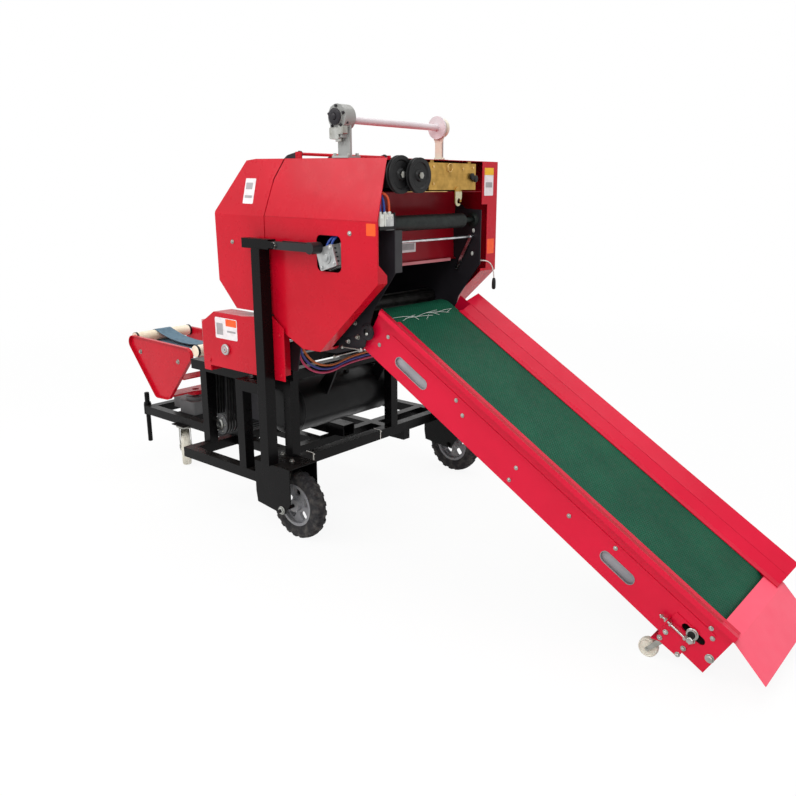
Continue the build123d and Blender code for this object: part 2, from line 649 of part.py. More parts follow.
# Rubber feed roller across the front opening, on a shaft that runs in both plates
with BuildPart() as feed_roller:
    roller_y0 = BODY_Y - PLATE_IN + 6
    shaft_reach = PLATE_OUT + 5
    add_rod_y(FEED_ROLLER_X, FEED_ROLLER_Z, roller_y0, roller_y0 + 436, 28.5)
    add_rod_y(FEED_ROLLER_X, FEED_ROLLER_Z, BODY_Y - shaft_reach, BODY_Y + shaft_reach, FEED_SHAFT_R)
save(feed_roller.part, "feed_roller")

# Feed rod: a bright round bar between the plates with a flat link down to the mouth
FEED_ROD_Z = CHAMBER_Z + 72
with BuildPart() as feed_rod:
    add_rod_y(FEED_ROLLER_X, FEED_ROD_Z, BODY_Y - PLATE_IN + SEAT, BODY_Y + PLATE_IN - SEAT, 5)
    link_y = BODY_Y + PLATE_IN - 14
    add_slot_plate(FEED_ROLLER_X, FEED_ROD_Z, FEED_ROLLER_X - 71, FEED_ROD_Z - 132, 12, link_y, link_y + 4)
    add_rod_y(FEED_ROLLER_X, FEED_ROD_Z, link_y - 5, link_y + 9, 9)
save(feed_rod.part, "feed_rod")

# Winding bracket: a zinc cross plate under the roof's front edge with a hook below it
ZINC_X = COVER_FRONT_X + 1
ZINC_T = 2
ZINC_LOW = COVER_TOP - 109
ROOF_LOW = COVER_TOP - SKIN
with BuildPart() as winding_bracket:
    zinc_y = (-317, -26)
    add_box(ZINC_X, ZINC_X + ZINC_T, *zinc_y, ZINC_LOW, COVER_TOP - 11)
    add_box(ZINC_X - 30, ZINC_X, *zinc_y, COVER_TOP - 11 - ZINC_T, COVER_TOP - 11)
    add_box(ZINC_X - 14, ZINC_X, *zinc_y, ZINC_LOW, ZINC_LOW + ZINC_T)
    for hanger in (zinc_y[0] + 20, zinc_y[1] - 40):
        add_box(ZINC_X - 30, ZINC_X - 8, hanger, hanger + 20, COVER_TOP - 11, ROOF_LOW - SEAT)
    with BuildSketch(Plane.YZ.offset(ZINC_X + ZINC_T)) as hook:
        with Locations((-142, ZINC_LOW - 24)):
            SlotOverall(72, 40, rotation=90)
        with Locations((-142, ZINC_LOW - 40)):
            Circle(11, mode=Mode.SUBTRACT)
        with Locations((-126, ZINC_LOW - 52)):
            Rectangle(30, 14, mode=Mode.SUBTRACT)
    extrude(hook.sketch, amount=4)
save(winding_bracket.part, "winding_bracket")

# Brake block under the roof with two stub shafts, and the grooved discs that turn on them
DISC_SHAFT_R = 8
disc_table = [
    # name, y, z, outer radius, x of the rear face
    ("near", -491, COVER_TOP - 56, 65, COVER_FRONT_X + 7),
    ("middle", -417, COVER_TOP - 58, 61, COVER_FRONT_X + 29),
]
DISC_T = 16
BLOCK_FRONT = COVER_FRONT_X - 14
block_y = (-528, -375)
with BuildPart() as brake_block:
    add_box(BLOCK_FRONT - 75, BLOCK_FRONT, *block_y, ZINC_LOW + 8, ROOF_LOW - SEAT)
    for fin in range(5):
        fin_x = BLOCK_FRONT - 68 + fin * 14
        add_box(fin_x, fin_x + 6, block_y[0] + 15, block_y[1] - 15, ZINC_LOW + 6, ZINC_LOW + 20, mode=Mode.SUBTRACT)
    for _, y, z, disc_r, disc_x in disc_table:
        reach = disc_x + DISC_T + 8 - BLOCK_FRONT
        with Locations(Location((BLOCK_FRONT + reach / 2 - 1, y, z), (0, 90, 0))):
            Cylinder(DISC_SHAFT_R, reach + 2)
save(brake_block.part, "brake_block")
for name, y, z, disc_r, disc_x in disc_table:
    with BuildPart() as disc:
        with BuildSketch(Plane.XZ) as disc_section:
            with BuildLine():
                Polyline(
                    (0, DISC_SHAFT_R + FIT),
                    (0, disc_r),
                    (3, disc_r),
                    (DISC_T / 2, disc_r - 9),
                    (DISC_T - 3, disc_r),
                    (DISC_T, disc_r),
                    (DISC_T, disc_r - 14),
                    (DISC_T - 4, disc_r - 18),
                    (DISC_T - 4, 22),
                    (DISC_T + 3, 18),
                    (DISC_T + 3, DISC_SHAFT_R + FIT),
                    close=True,
                )
            make_face()
        revolve(axis=Axis.X)
    save(disc.part.moved(Location((disc_x, y, z))), f"guide_disc_{name}")

# Valve on the near plate's front corner, and the end of a tilted air cylinder in the window
PLATE_FACE_Y = BODY_Y - PLATE_OUT
with BuildPart() as valve_blocks:
    valve_z = FEED_ROLLER_Z - 18
    valve_y = PLATE_FACE_Y - 42
    add_box(COVER_FRONT_X - 24, COVER_FRONT_X - 2, valve_y, PLATE_FACE_Y - SEAT, valve_z, valve_z + 46)
    for port in (-34, -14):
        with Locations((COVER_FRONT_X - 13, PLATE_FACE_Y + port + 2, valve_z + 52)):
            Cylinder(6, 16)
    block_x = CHAMBER_X + 265
    block_z = CHAMBER_Z + 15
    block_y = PLATE_FACE_Y - SEAT
    with Locations(Location((block_x, (block_y - 606) / 2, block_z), (0, -18, 0))):
        Box(84, block_y + 606, 76)
        Box(92, 22, 84)
save(valve_blocks.part, "valve_blocks")

# Net stand on the roof: two uprights, the near one with the gear head that turns the net shaft
NET_X = CHAMBER_X + 280
NET_Z = COVER_TOP + 132
NET_STUB_R = 8
STAND_FOOT = COVER_TOP + SEAT
NEAR_UPRIGHT_Y = -522
FAR_UPRIGHT_Y = 28
with BuildPart() as net_stand:
    for foot_x, foot_y, upright_y, upright_w, top in (
        (40, (-545, -480), NEAR_UPRIGHT_Y, 62, NET_Z - 20),
        (25, (0, 58), FAR_UPRIGHT_Y, 32, NET_Z + 14),
    ):
        add_box(NET_X - foot_x, NET_X + foot_x, *foot_y, STAND_FOOT, STAND_FOOT + 8)
        half = upright_w / 2
        add_box(NET_X - half, NET_X + half, upright_y, upright_y + 8, STAND_FOOT, top)
    add_rod_y(NET_X - 4, NET_Z + 8, NEAR_UPRIGHT_Y - 30, NEAR_UPRIGHT_Y + 22, 44)
    add_rod_y(NET_X - 4, NET_Z + 8, NEAR_UPRIGHT_Y - 38, NEAR_UPRIGHT_Y - 30, 30)
    add_box(NET_X - 42, NET_X + 18, NEAR_UPRIGHT_Y - 26, NEAR_UPRIGHT_Y + 16, NET_Z - 62, NET_Z)
    add_rod_y(NET_X, NET_Z, NEAR_UPRIGHT_Y - 10, FAR_UPRIGHT_Y + 20, NET_STUB_R + FIT, mode=Mode.SUBTRACT)
save(net_stand.part, "net_stand")

# Net shaft: the bright bar that a roll of net turns on, with a round flange at its far end
with BuildPart() as net_shaft:
    add_rod_y(NET_X, NET_Z, NEAR_UPRIGHT_Y - 4, FAR_UPRIGHT_Y + 14, NET_STUB_R)
    add_rod_y(NET_X, NET_Z, NEAR_UPRIGHT_Y + 30, FAR_UPRIGHT_Y - 10, 13)
    add_rod_y(NET_X, NET_Z, FAR_UPRIGHT_Y - 18, FAR_UPRIGHT_Y - 10, 45)
save(net_shaft.part, "net_shaft")

# Drive hood: a sheet box beside the chamber's foot, its face running on in front as a flat
# flap, with a bay behind the deck's near rail where the belts come up
HOOD_Y = -606
HOOD_BACK_Y = PLATE_FACE_Y - 6
HOOD_LOW = DECK_TOP + 25
HOOD_REAR = CHAMBER_X - 519
HOOD_FRONT = CHAMBER_X - 66
FLAP_FRONT = CHAMBER_X + 10
BAY_REAR = HOOD_REAR - 149
BAY_BACK_Y = DECK_NEAR_Y + 105
BAY_TOP = HOOD_LOW + 165
hood_face = [
    (HOOD_REAR, HOOD_LOW),
    (HOOD_REAR, HOOD_LOW + 185),
    (HOOD_REAR + 86, HOOD_LOW + 238),
    (HOOD_REAR + 282, HOOD_LOW + 238),
    (HOOD_FRONT, HOOD_LOW + 256),
    (HOOD_FRONT, HOOD_LOW),
]
hood_flap = [
    (HOOD_FRONT - 12, HOOD_LOW),
    (HOOD_FRONT - 12, HOOD_LOW + 256),
    (FLAP_FRONT - 65, HOOD_LOW + 258),
    (FLAP_FRONT, HOOD_LOW + 215),
    (FLAP_FRONT, HOOD_LOW),
]
bay_plan = [
    (HOOD_REAR, HOOD_Y),
    (BAY_REAR, DECK_NEAR_Y - 3),
    (BAY_REAR, BAY_BACK_Y),
    (HOOD_REAR + 44, BAY_BACK_Y),
    (HOOD_REAR + 44, HOOD_Y),
]


def hood_block(inset):
    """The hood as a solid, or the space inside its sheet, open at the back and under the bay."""
    opening = 10 if inset else 0
    with BuildPart() as block:
        with BuildSketch(side_plane(HOOD_BACK_Y + opening)) as face:
            with BuildLine():
                Polyline(*hood_face, close=True)
            make_face()
            if inset:
                offset(amount=-inset, kind=Kind.INTERSECTION)
        extrude(face.sketch, amount=HOOD_BACK_Y + opening - HOOD_Y - inset)
        with BuildSketch(Plane.XY.offset(DECK_TOP + SEAT - opening)) as bay:
            with BuildLine():
                Polyline(*bay_plan, close=True)
            make_face()
            if inset:
                offset(amount=-inset, kind=Kind.INTERSECTION)
        extrude(bay.sketch, amount=BAY_TOP - inset - DECK_TOP - SEAT + opening)
    return block.part


PULLEY_R = 50
PULLEY_FACE_Y = DECK_NEAR_Y + 26
PULLEY_LENGTH = 66
MOTOR_X = -841
MOTOR_Z = 367
DRIVEN_X = MOTOR_X + 16
DRIVEN_Z = HOOD_LOW + 80
with BuildPart() as drive_hood:
    add(hood_block(0) - hood_block(SKIN))
    add_plate(hood_flap, HOOD_Y, HOOD_Y + SKIN)
    add_rod_y(HOOD_REAR + 162, HOOD_LOW + 84, HOOD_Y - 9, HOOD_Y + SKIN, 22)
    add_rod_y(HOOD_REAR + 162, HOOD_LOW + 84, HOOD_Y - 12, HOOD_Y + SKIN, 14)
save(drive_hood.part, "drive_hood")

# Motor on its feet across the motor rails, ribbed, with a terminal box on top
MOTOR_R = 72
MOTOR_FRONT_Y = PULLEY_FACE_Y + PULLEY_LENGTH + 16
MOTOR_BACK_Y = MOTOR_FRONT_Y + 300
MOTOR_SHAFT_R = 14
with BuildPart() as motor:
    with BuildSketch(side_plane(MOTOR_BACK_Y - 40)) as ribbed:
        with Locations((MOTOR_X, MOTOR_Z)):
            Circle(MOTOR_R - 4)
            with PolarLocations(MOTOR_R - 6, 30):
                Rectangle(13, 4)
    extrude(ribbed.sketch, amount=MOTOR_BACK_Y - 60 - MOTOR_FRONT_Y)
    add_rod_y(MOTOR_X, MOTOR_Z, MOTOR_FRONT_Y, MOTOR_FRONT_Y + 22, MOTOR_R)
    add_rod_y(MOTOR_X, MOTOR_Z, MOTOR_BACK_Y - 42, MOTOR_BACK_Y, MOTOR_R)
    add_rod_y(MOTOR_X, MOTOR_Z, PULLEY_FACE_Y, MOTOR_FRONT_Y, MOTOR_SHAFT_R)
    for foot_y in MOTOR_RAILS_Y:
        add_box(MOTOR_X - 78, MOTOR_X + 78, foot_y - 20, foot_y + 20, BASE_TOP + SEAT, BASE_TOP + 12)
        for foot_x in (MOTOR_X - 58, MOTOR_X + 44):
            add_box(foot_x, foot_x + 14, foot_y - 16, foot_y + 16, BASE_TOP + 12, MOTOR_Z - 30)
    box_y = MOTOR_FRONT_Y + 110
    add_box(MOTOR_X - 42, MOTOR_X + 42, box_y, box_y + 90, MOTOR_Z + 40, MOTOR_Z + MOTOR_R + 36)
save(motor.part, "motor")

# Belt pulleys: one on the motor's shaft, one above it on a bearing that stands on the deck
BELT_COUNT = 4
BELT_PITCH = 16
groove_line = [PULLEY_FACE_Y + 9 + i * BELT_PITCH for i in range(BELT_COUNT)]
with BuildPart() as belt_pulleys:
    for x, z, bore in ((MOTOR_X, MOTOR_Z, MOTOR_SHAFT_R + SEAT), (DRIVEN_X, DRIVEN_Z, 0)):
        add_rod_y(x, z, PULLEY_FACE_Y, PULLEY_FACE_Y + PULLEY_LENGTH, PULLEY_R)
        for y in groove_line:
            with BuildSketch(side_plane(y + 5)) as groove:
                with Locations((x, z)):
                    Circle(PULLEY_R + 1)
                    Circle(PULLEY_R - 7, mode=Mode.SUBTRACT)
            extrude(groove.sketch, amount=10, mode=Mode.SUBTRACT)
        if bore:
            add_rod_y(x, z, PULLEY_FACE_Y - 9, PULLEY_FACE_Y + PULLEY_LENGTH + 9, bore, mode=Mode.SUBTRACT)
    add_rod_y(DRIVEN_X, DRIVEN_Z, PULLEY_FACE_Y - 40, PULLEY_FACE_Y + 2, 15)
    bearing_y = DECK_NEAR_Y - 8
    add_box(DRIVEN_X - 24, DRIVEN_X + 24, bearing_y, bearing_y + 18, DECK_TOP + SEAT, DRIVEN_Z + 20)
save(belt_pulleys.part, "belt_pulleys")

# Drive belts: four loops side by side round both pulleys
with BuildPart() as drive_belts:
    for y in groove_line:
        with BuildSketch(side_plane(y + 4)) as loop:
            middle = ((MOTOR_X + DRIVEN_X) / 2, (MOTOR_Z + DRIVEN_Z) / 2)
            SlotCenterPoint(middle, (DRIVEN_X, DRIVEN_Z), 2 * PULLEY_R + 2)
            SlotCenterPoint(middle, (DRIVEN_X, DRIVEN_Z), 2 * (PULLEY_R - 7 + SEAT), mode=Mode.SUBTRACT)
        extrude(loop.sketch, amount=8)
save(drive_belts.part, "drive_belts")

# Air tank across the frame, domed at both ends, hung by four plates under the deck's cross
# members
TANK_X = -456
TANK_Z = 502
TANK_R = 118
TANK_ENDS = (-445, 205)
with BuildPart() as air_tank:
    add_rod_y(TANK_X, TANK_Z, *TANK_ENDS, TANK_R)
    fillet(air_tank.edges().filter_by(GeomType.CIRCLE), 50)
    for hanger_y in (-250, 85):
        for cross_x, way in ((MID_CROSS_X, -1), (FRONT_CROSS_X, 1)):
            hanger = [
                (cross_x - way * HALF_TUBE, DECK_TOP - SEAT),
                (cross_x + way * HALF_TUBE, DECK_TOP - SEAT),
                (TANK_X + way * (TANK_R - 20), TANK_Z + 30),
                (TANK_X + way * 30, TANK_Z + 60),
            ]
            add_plate(hanger, hanger_y - 5, hanger_y + 5)
    with Locations((TANK_X + 40, -60, TANK_Z + TANK_R - 8)):
        Cylinder(12, 20)
save(air_tank.part, "air_tank")

# Lift socket: an open rectangular tube laid on the middle cross member
SOCKET = (-700, -440, -64, 10, BASE_TOP + SEAT, BASE_TOP + SEAT + 58)
with BuildPart() as lift_socket:
    add_box(*SOCKET)
    x0, x1, y0, y1, z0, z1 = SOCKET
    add_box(x0 - 1, x1 + 1, y0 + 4, y1 - 4, z0 + 4, z1 - 4, mode=Mode.SUBTRACT)
    fillet(lift_socket.edges().filter_by(Axis.X), 3)
save(lift_socket.part, "lift_socket")

# Wrapping turntable: a gear case on the tail frame, and two tapered cheeks on a spindle with
# two rollers and a belt round them
SPINDLE_R = 30
GEAR_TOP = BASE_TOP + 94
with BuildPart() as turntable_gear:
    add_box(TABLE_X - 66, TABLE_X + 66, BODY_Y - 62, BODY_Y + 62, BASE_TOP + SEAT, GEAR_TOP - 24)
    fillet(turntable_gear.edges().filter_by(Axis.Z), 16)
    with Locations((TABLE_X, BODY_Y, GEAR_TOP - 20)):
        Cylinder(50, 28)
    add_box(TABLE_X - 150, TABLE_X - 60, BODY_Y - 34, BODY_Y + 34, BASE_TOP + 8, BASE_TOP + 66)
    with Locations((TABLE_X, BODY_Y, GEAR_TOP)):
        Cylinder(SPINDLE_R - 12, 24)
save(turntable_gear.part, "turntable_gear")

CHEEK_ROUND = 38
cheek_line = [(-338, 685), (288, 678), (30, 386), (-83, 380)]
ROLLER_END = TABLE_HALF - TABLE_SHEET - SEAT
with BuildPart() as table_frame:
    for side in (-1, 1):
        outline = [(TABLE_X + dx, z) for dx, z in cheek_line]
        face_y = BODY_Y + side * TABLE_HALF
        inner_y = face_y - side * TABLE_SHEET
        near, far = sorted((face_y, inner_y))
        with BuildSketch(side_plane(far)) as cheek:
            with BuildLine():
                Polyline(*outline, close=True)
            make_face()
            fillet(cheek.vertices(), CHEEK_ROUND)
        extrude(cheek.sketch, amount=TABLE_SHEET)
        lip_near, lip_far = sorted((face_y, face_y + side * 14))
        with BuildSketch(side_plane(lip_far)) as lip:
            with BuildLine():
                Polyline(*outline, close=True)
            make_face()
            fillet(lip.vertices(), CHEEK_ROUND)
            offset(amount=-3, kind=Kind.INTERSECTION, mode=Mode.SUBTRACT)
        extrude(lip.sketch, amount=lip_far - lip_near)
    table_in = TABLE_HALF - TABLE_SHEET
    add_box(TABLE_X - 60, TABLE_X + 30, BODY_Y - table_in, BODY_Y + table_in, TABLE_LOW + 4, TABLE_LOW + 12)
    add_box(TABLE_X + 60, TABLE_X + 150, BODY_Y - table_in, BODY_Y + table_in, 506, 512)
    add_box(TABLE_X - 190, TABLE_X - 100, BODY_Y - table_in, BODY_Y + table_in, 556, 562)
    with Locations((TABLE_X, BODY_Y, (GEAR_TOP + 6 + TABLE_LOW + 12) / 2)):
        Cylinder(SPINDLE_R + 12, TABLE_LOW + 6 - GEAR_TOP)
        Cylinder(SPINDLE_R - 12 + FIT, 60, mode=Mode.SUBTRACT)
save(table_frame.part, "table_frame")

roller_x = (TABLE_X - TABLE_ROLLER_SPAN / 2, TABLE_X + TABLE_ROLLER_SPAN / 2)
with BuildPart() as table_rollers:
    for x in roller_x:
        add_rod_y(x, TABLE_ROLLER_Z, BODY_Y - ROLLER_END, BODY_Y + ROLLER_END, TABLE_ROLLER_R)
save(table_rollers.part, "table_rollers")

# Table belt: one loop round both rollers, its upper run sagging between them
TABLE_BELT = 95
BELT_SAG_TURN = radians(18)
sag_radius = TABLE_ROLLER_SPAN / 2 / sin(BELT_SAG_TURN)


def belt_line(r):
    """The belt's loop at a radius round the rollers' axes."""
    rear_x, front_x = roller_x
    leave = r * sin(BELT_SAG_TURN)
    low_z = TABLE_ROLLER_Z - r
    leave_z = TABLE_ROLLER_Z + r * cos(BELT_SAG_TURN)
    sag_z = TABLE_ROLLER_Z + r - sag_radius * (1 - cos(BELT_SAG_TURN))
    with BuildSketch(side_plane(BODY_Y + TABLE_BELT / 2)) as loop:
        with BuildLine():
            Line((rear_x, low_z), (front_x, low_z))
            ThreePointArc((front_x, low_z), (front_x + r, TABLE_ROLLER_Z), (front_x - leave, leave_z))
            ThreePointArc((front_x - leave, leave_z), (TABLE_X, sag_z), (rear_x + leave, leave_z))
            ThreePointArc((rear_x + leave, leave_z), (rear_x - r, TABLE_ROLLER_Z), (rear_x, low_z))
        make_face()
    return loop.sketch


with BuildPart() as table_belt:
    extrude(belt_line(TABLE_ROLLER_R + SEAT + 3), amount=TABLE_BELT)
    extrude(belt_line(TABLE_ROLLER_R + SEAT), amount=TABLE_BELT, mode=Mode.SUBTRACT)
save(table_belt.part, "table_belt")

# Feed conveyor, built level along its own belt and then set on its slope. Here x runs down
# the belt, y is across it from its middle and z stands up from the belt's top.
conveyor_place = Location((CONV_X, BODY_Y, CONV_Z), (0, SLOPE, 0))
SKIRT_IN = 184
SKIRT_OUT = 209
WEB_TOP = 30
RETURN_IN = WEB_HALF - 22
HEAD_W0 = -WEB_DEPTH
BRACKET = (760, 850)
HOLES = ((-548, -378), (470, 609))
HOLE_W = -90
HOLE_H = 42
SLOT_S = (795, 879)
TRAY_TIP_S = 1076
INNER_S = HEAD_S + 60
with BuildPart() as beams:
    for side in (-1, 1):
        near, far = sorted((side * WEB_HALF, side * (WEB_HALF - CONV_SHEET)))
        add_box(HEAD_S, BEAM_END_S, near, far, -WEB_DEPTH, WEB_TOP)
        near, far = sorted((side * WEB_HALF, side * RETURN_IN))
        add_box(HEAD_S, BEAM_END_S, near, far, -WEB_DEPTH, -WEB_DEPTH + CONV_SHEET)
        skirt = [
            (side * SKIRT_IN, 1.5),
            (side * (SKIRT_OUT + 2), 3),
            (side * SKIRT_OUT, 3 + CONV_SHEET),
            (side * SKIRT_IN, 1.5 + CONV_SHEET),
        ]
        wall = [
            (side * (SKIRT_OUT + 2), 3),
            (side * (WEB_HALF - 1), WEB_TOP - 3),
            (side * (WEB_HALF - 1), WEB_TOP + 1),
            (side * SKIRT_OUT, 3 + CONV_SHEET),
        ]
        flare = [
            (side * (WEB_HALF - 1), WEB_TOP - 3),
            (side * RIM_HALF, RIM_RISE),
            (side * RIM_HALF, RIM_RISE + CONV_SHEET + 1),
            (side * (WEB_HALF - 3), WEB_TOP + 1),
        ]
        rim = [
            (side * RIM_HALF, RIM_RISE + CONV_SHEET + 1),
            (side * (RIM_HALF + CONV_SHEET), RIM_RISE + CONV_SHEET + 1),
            (side * (RIM_HALF + CONV_SHEET), RIM_RISE - 14),
            (side * RIM_HALF, RIM_RISE - 14),
        ]
        for points, s0 in ((skirt, INNER_S), (wall, INNER_S), (flare, FLARE_HEAD_S), (rim, FLARE_HEAD_S)):
            with BuildSketch(Plane.YZ.offset(s0)) as fold:
                with BuildLine():
                    Polyline(*points, close=True)
                make_face()
            extrude(fold.sketch, amount=BEAM_END_S - s0)
        near, far = sorted((side * WEB_HALF, side * (WEB_HALF + CONV_SHEET)))
        add_plate(
            [(BRACKET[0], -56), (BRACKET[1], -56), (BRACKET[1], -178), (BRACKET[0] + 20, -182), (BRACKET[0], -160)],
            near, far,
        )
    cut_y = WEB_HALF + 10
    for s0, s1 in HOLES:
        reach = HOLE_H / 2
        add_slot_plate(s0 + reach, HOLE_W, s1 - reach, HOLE_W, HOLE_H, -cut_y, cut_y, mode=Mode.SUBTRACT)
    add_slot_plate(SLOT_S[0] + 13, SHAFT_W, SLOT_S[1] - 13, SHAFT_W, 26, -cut_y, cut_y, mode=Mode.SUBTRACT)
    add_rod_y(HEAD_S, SHAFT_W, -cut_y, cut_y, SHAFT_R + SEAT, mode=Mode.SUBTRACT)
    # Bed under the belt's top run, and tie bars between the webs
    bed_half = WEB_HALF - CONV_SHEET
    add_box(HEAD_S + 85, TAIL_S - 85, -bed_half, bed_half, -9, -6)
    for tie_s in (-560, 40, 640):
        add_rod_y(tie_s, -130, -bed_half, bed_half, 12)
conveyor_beams = beams.part.moved(conveyor_place)
with BuildPart() as conveyor_sides:
    add(conveyor_beams)
    # Plates under the tail that carry the small casters
    for side in (-1, 1):
        inner = BODY_Y + side * (TAIL_SWIVEL_OUT - 34)
        outer = BODY_Y + side * (WEB_HALF + 1)
        near, far = sorted((inner, outer))
        plate_z = TAIL_CASTER["top"]
        add_box(TAIL_SWIVEL_X - 34, TAIL_SWIVEL_X + 32, near, far, plate_z, plate_z + 4)
save(conveyor_sides.part, "conveyor_sides")

with BuildPart() as belt:
    with BuildSketch(side_plane(BELT_WIDTH / 2)) as belt_section:
        with Locations(((HEAD_S + TAIL_S) / 2, SHAFT_W)):
            SlotCenterToCenter(TAIL_S - HEAD_S, 2 * (DRUM_R + BELT_T))
            SlotCenterToCenter(TAIL_S - HEAD_S, 2 * DRUM_R, mode=Mode.SUBTRACT)
    extrude(belt_section.sketch, amount=BELT_WIDTH)
save(belt.part.moved(conveyor_place), "conveyor_belt")

with BuildPart() as drums:
    for drum_s, reach in ((HEAD_S, PLATE_OUT + 5), (TAIL_S, WEB_HALF + 14)):
        add_rod_y(drum_s, SHAFT_W, -BELT_WIDTH / 2 - 2, BELT_WIDTH / 2 + 2, DRUM_R - SEAT)
        add_rod_y(drum_s, SHAFT_W, -reach, reach, SHAFT_R)
save(drums.part.moved(conveyor_place), "conveyor_drums")

with BuildPart() as tray:
    tray_half = WEB_HALF - CONV_SHEET - SEAT
    with BuildSketch(side_plane(tray_half)) as tray_section:
        with BuildLine():
            Polyline((TAIL_S + 42, -2), (BEAM_END_S + 7, 0), (TRAY_TIP_S, -38))
        trace(line_width=SKIN)
    extrude(tray_section.sketch, amount=2 * tray_half)
    for side in (-1, 1):
        near, far = sorted((side * tray_half, side * (tray_half - SKIN)))
        add_box(TAIL_S + 44, BEAM_END_S, near, far, -30, -2)
save(tray.part.moved(conveyor_place), "conveyor_tray")

# Air hoses: three tubes that hang from a gland on the near plate to one on the front cross
HOSE_R = 5
HOSE_X = FRONT_CROSS_X + HALF_TUBE + 17
GLAND_LOW = CHAMBER_Z - 368
GLAND_Y = 5
hose_route = [
    (-486, GLAND_LOW),
    (-486, 765),
    (-420, 698),
    (-322, 672),
    (-215, 695),
    (-110, 701),
    (GLAND_Y, 701),
]


def bend_radii(points):
    """A fillet for each corner of a route that fits within its shorter neighbouring run."""
    radii = []
    for before, corner, after in zip(points, points[1:], points[2:]):
        run_in = Vector(*corner) - Vector(*before)
        run_out = Vector(*after) - Vector(*corner)
        half_turn = radians(run_in.get_angle(run_out)) / 2
        radii.append(0.45 * min(run_in.length, run_out.length) / tan(half_turn))
    return radii


for index, name in enumerate(("low", "middle", "top")):
    shift_y = 12 * index
    shift_z = 14 * index
    points = [(HOSE_X, y + shift_y, z + shift_z) for y, z in hose_route]
    points[0] = (HOSE_X, points[0][1], GLAND_LOW)
    points[-1] = (HOSE_X, GLAND_Y, points[-1][2])
    radii = bend_radii(points)
    with BuildPart() as hose:
        with BuildLine() as hose_line:
            FilletPolyline(*points, radius=radii)
        route = hose_line.wires()[0]
        with BuildSketch(Plane(origin=points[0], z_dir=route % 0)) as section:
            Circle(HOSE_R)
        sweep(section.sketch, path=route)
    print(f"air_hose_{name}", [round(r) for r in radii], round(route.length, 1))
    print("  volume by section", round(hose.part.volume / (pi * HOSE_R**2 * route.length), 4))
    save(hose.part, f"air_hose_{name}")

# Glands of the hoses, one under the near plate's inner face and one on the front cross
with BuildPart() as hose_glands:
    inner_face = BODY_Y - PLATE_IN
    add_box(HOSE_X - 10, HOSE_X + 12, inner_face + SEAT, inner_face + 52, GLAND_LOW, GLAND_LOW + 12)
    add_box(FRONT_CROSS_X + HALF_TUBE + SEAT, HOSE_X + 12, GLAND_Y, GLAND_Y + 14, 686, 736)
save(hose_glands.part, "hose_glands")

# Pull cord from the far plate's outer face, over the far cover's front, with its hanging end
CORD_R = 2.5
CORD_X = COVER_FRONT_X - 16
cord_points = [
    (CORD_X, BODY_Y + PLATE_OUT - 1, CHAMBER_Z - 24),
    (CORD_X + 8, BODY_Y + PLATE_OUT + 20, CHAMBER_Z - 22),
    (CORD_X + 32, BODY_Y + PLATE_OUT + 44, CHAMBER_Z - 30),
    (CORD_X + 40, BODY_Y + PLATE_OUT + 62, CHAMBER_Z - 62),
    (CORD_X + 41, BODY_Y + PLATE_OUT + 64, CHAMBER_Z - 98),
]
with BuildPart() as pull_cord:
    radii = bend_radii(cord_points)
    with BuildLine() as cord_line:
        FilletPolyline(*cord_points, radius=radii)
    route = cord_line.wires()[0]
    with BuildSketch(Plane(origin=cord_points[0], z_dir=route % 0)) as cord_section:
        Circle(CORD_R)
    sweep(cord_section.sketch, path=route)
print("pull_cord", [round(r) for r in radii], round(route.length, 1))
print("  volume by section", round(pull_cord.part.volume / (pi * CORD_R**2 * route.length), 4))
save(pull_cord.part, "pull_cord")
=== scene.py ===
from math import cos, pi, radians, sin

import bmesh
import bpy
from mathutils import Matrix, Vector


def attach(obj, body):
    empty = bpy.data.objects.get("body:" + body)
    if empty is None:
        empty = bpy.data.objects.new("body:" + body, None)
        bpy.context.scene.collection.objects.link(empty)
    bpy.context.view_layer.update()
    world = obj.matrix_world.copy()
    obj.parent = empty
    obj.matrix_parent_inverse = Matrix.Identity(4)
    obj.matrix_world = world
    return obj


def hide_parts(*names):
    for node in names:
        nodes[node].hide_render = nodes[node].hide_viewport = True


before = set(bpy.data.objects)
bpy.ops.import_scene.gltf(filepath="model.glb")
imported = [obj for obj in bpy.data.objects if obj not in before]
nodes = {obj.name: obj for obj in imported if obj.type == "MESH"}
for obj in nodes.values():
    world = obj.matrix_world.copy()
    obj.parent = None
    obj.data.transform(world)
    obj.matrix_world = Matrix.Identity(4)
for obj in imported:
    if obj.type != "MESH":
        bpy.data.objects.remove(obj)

# Small round silage baler with a wrapping turntable and a feed conveyor, in metres.
# +X runs forward to the conveyor's tail, +Y away from the control post, +Z up. The control
# post's side is the near side.
scene = bpy.context.scene
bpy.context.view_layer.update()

# Frame, deck, wheel forks, control post and lift socket: mild steel square tube and plate,
# welded into one frame and dipped in black gloss enamel, which gathers a little yard dust on
# every face that looks up.
NEAR, FAR, FRONT = (0, -1, 0), (0, 1, 0), (1, 0, 0)
UP, DOWN = (0, 0, 1), (0, 0, -1)
world_mm = Matrix.Scale(0.001, 4)
YARD_DUST = "#a3968a"


def linear(hex_colour):
    """An sRGB hex colour as linear red, green, blue and alpha."""
    channels = [int(hex_colour[i : i + 2], 16) / 255 for i in (1, 3, 5)]
    return (*[c / 12.92 if c <= 0.04045 else ((c + 0.055) / 1.055) ** 2.4 for c in channels], 1.0)


def add_node(tree, kind, sockets=None, **settings):
    """A node with its settings. sockets gives an input's name or number its value or its link."""
    node = tree.nodes.new(kind)
    for name, value in settings.items():
        setattr(node, name, value)
    for key, value in (sockets or {}).items():
        if isinstance(value, bpy.types.NodeSocket):
            tree.links.new(value, node.inputs[key])
        else:
            node.inputs[key].default_value = value
    return node


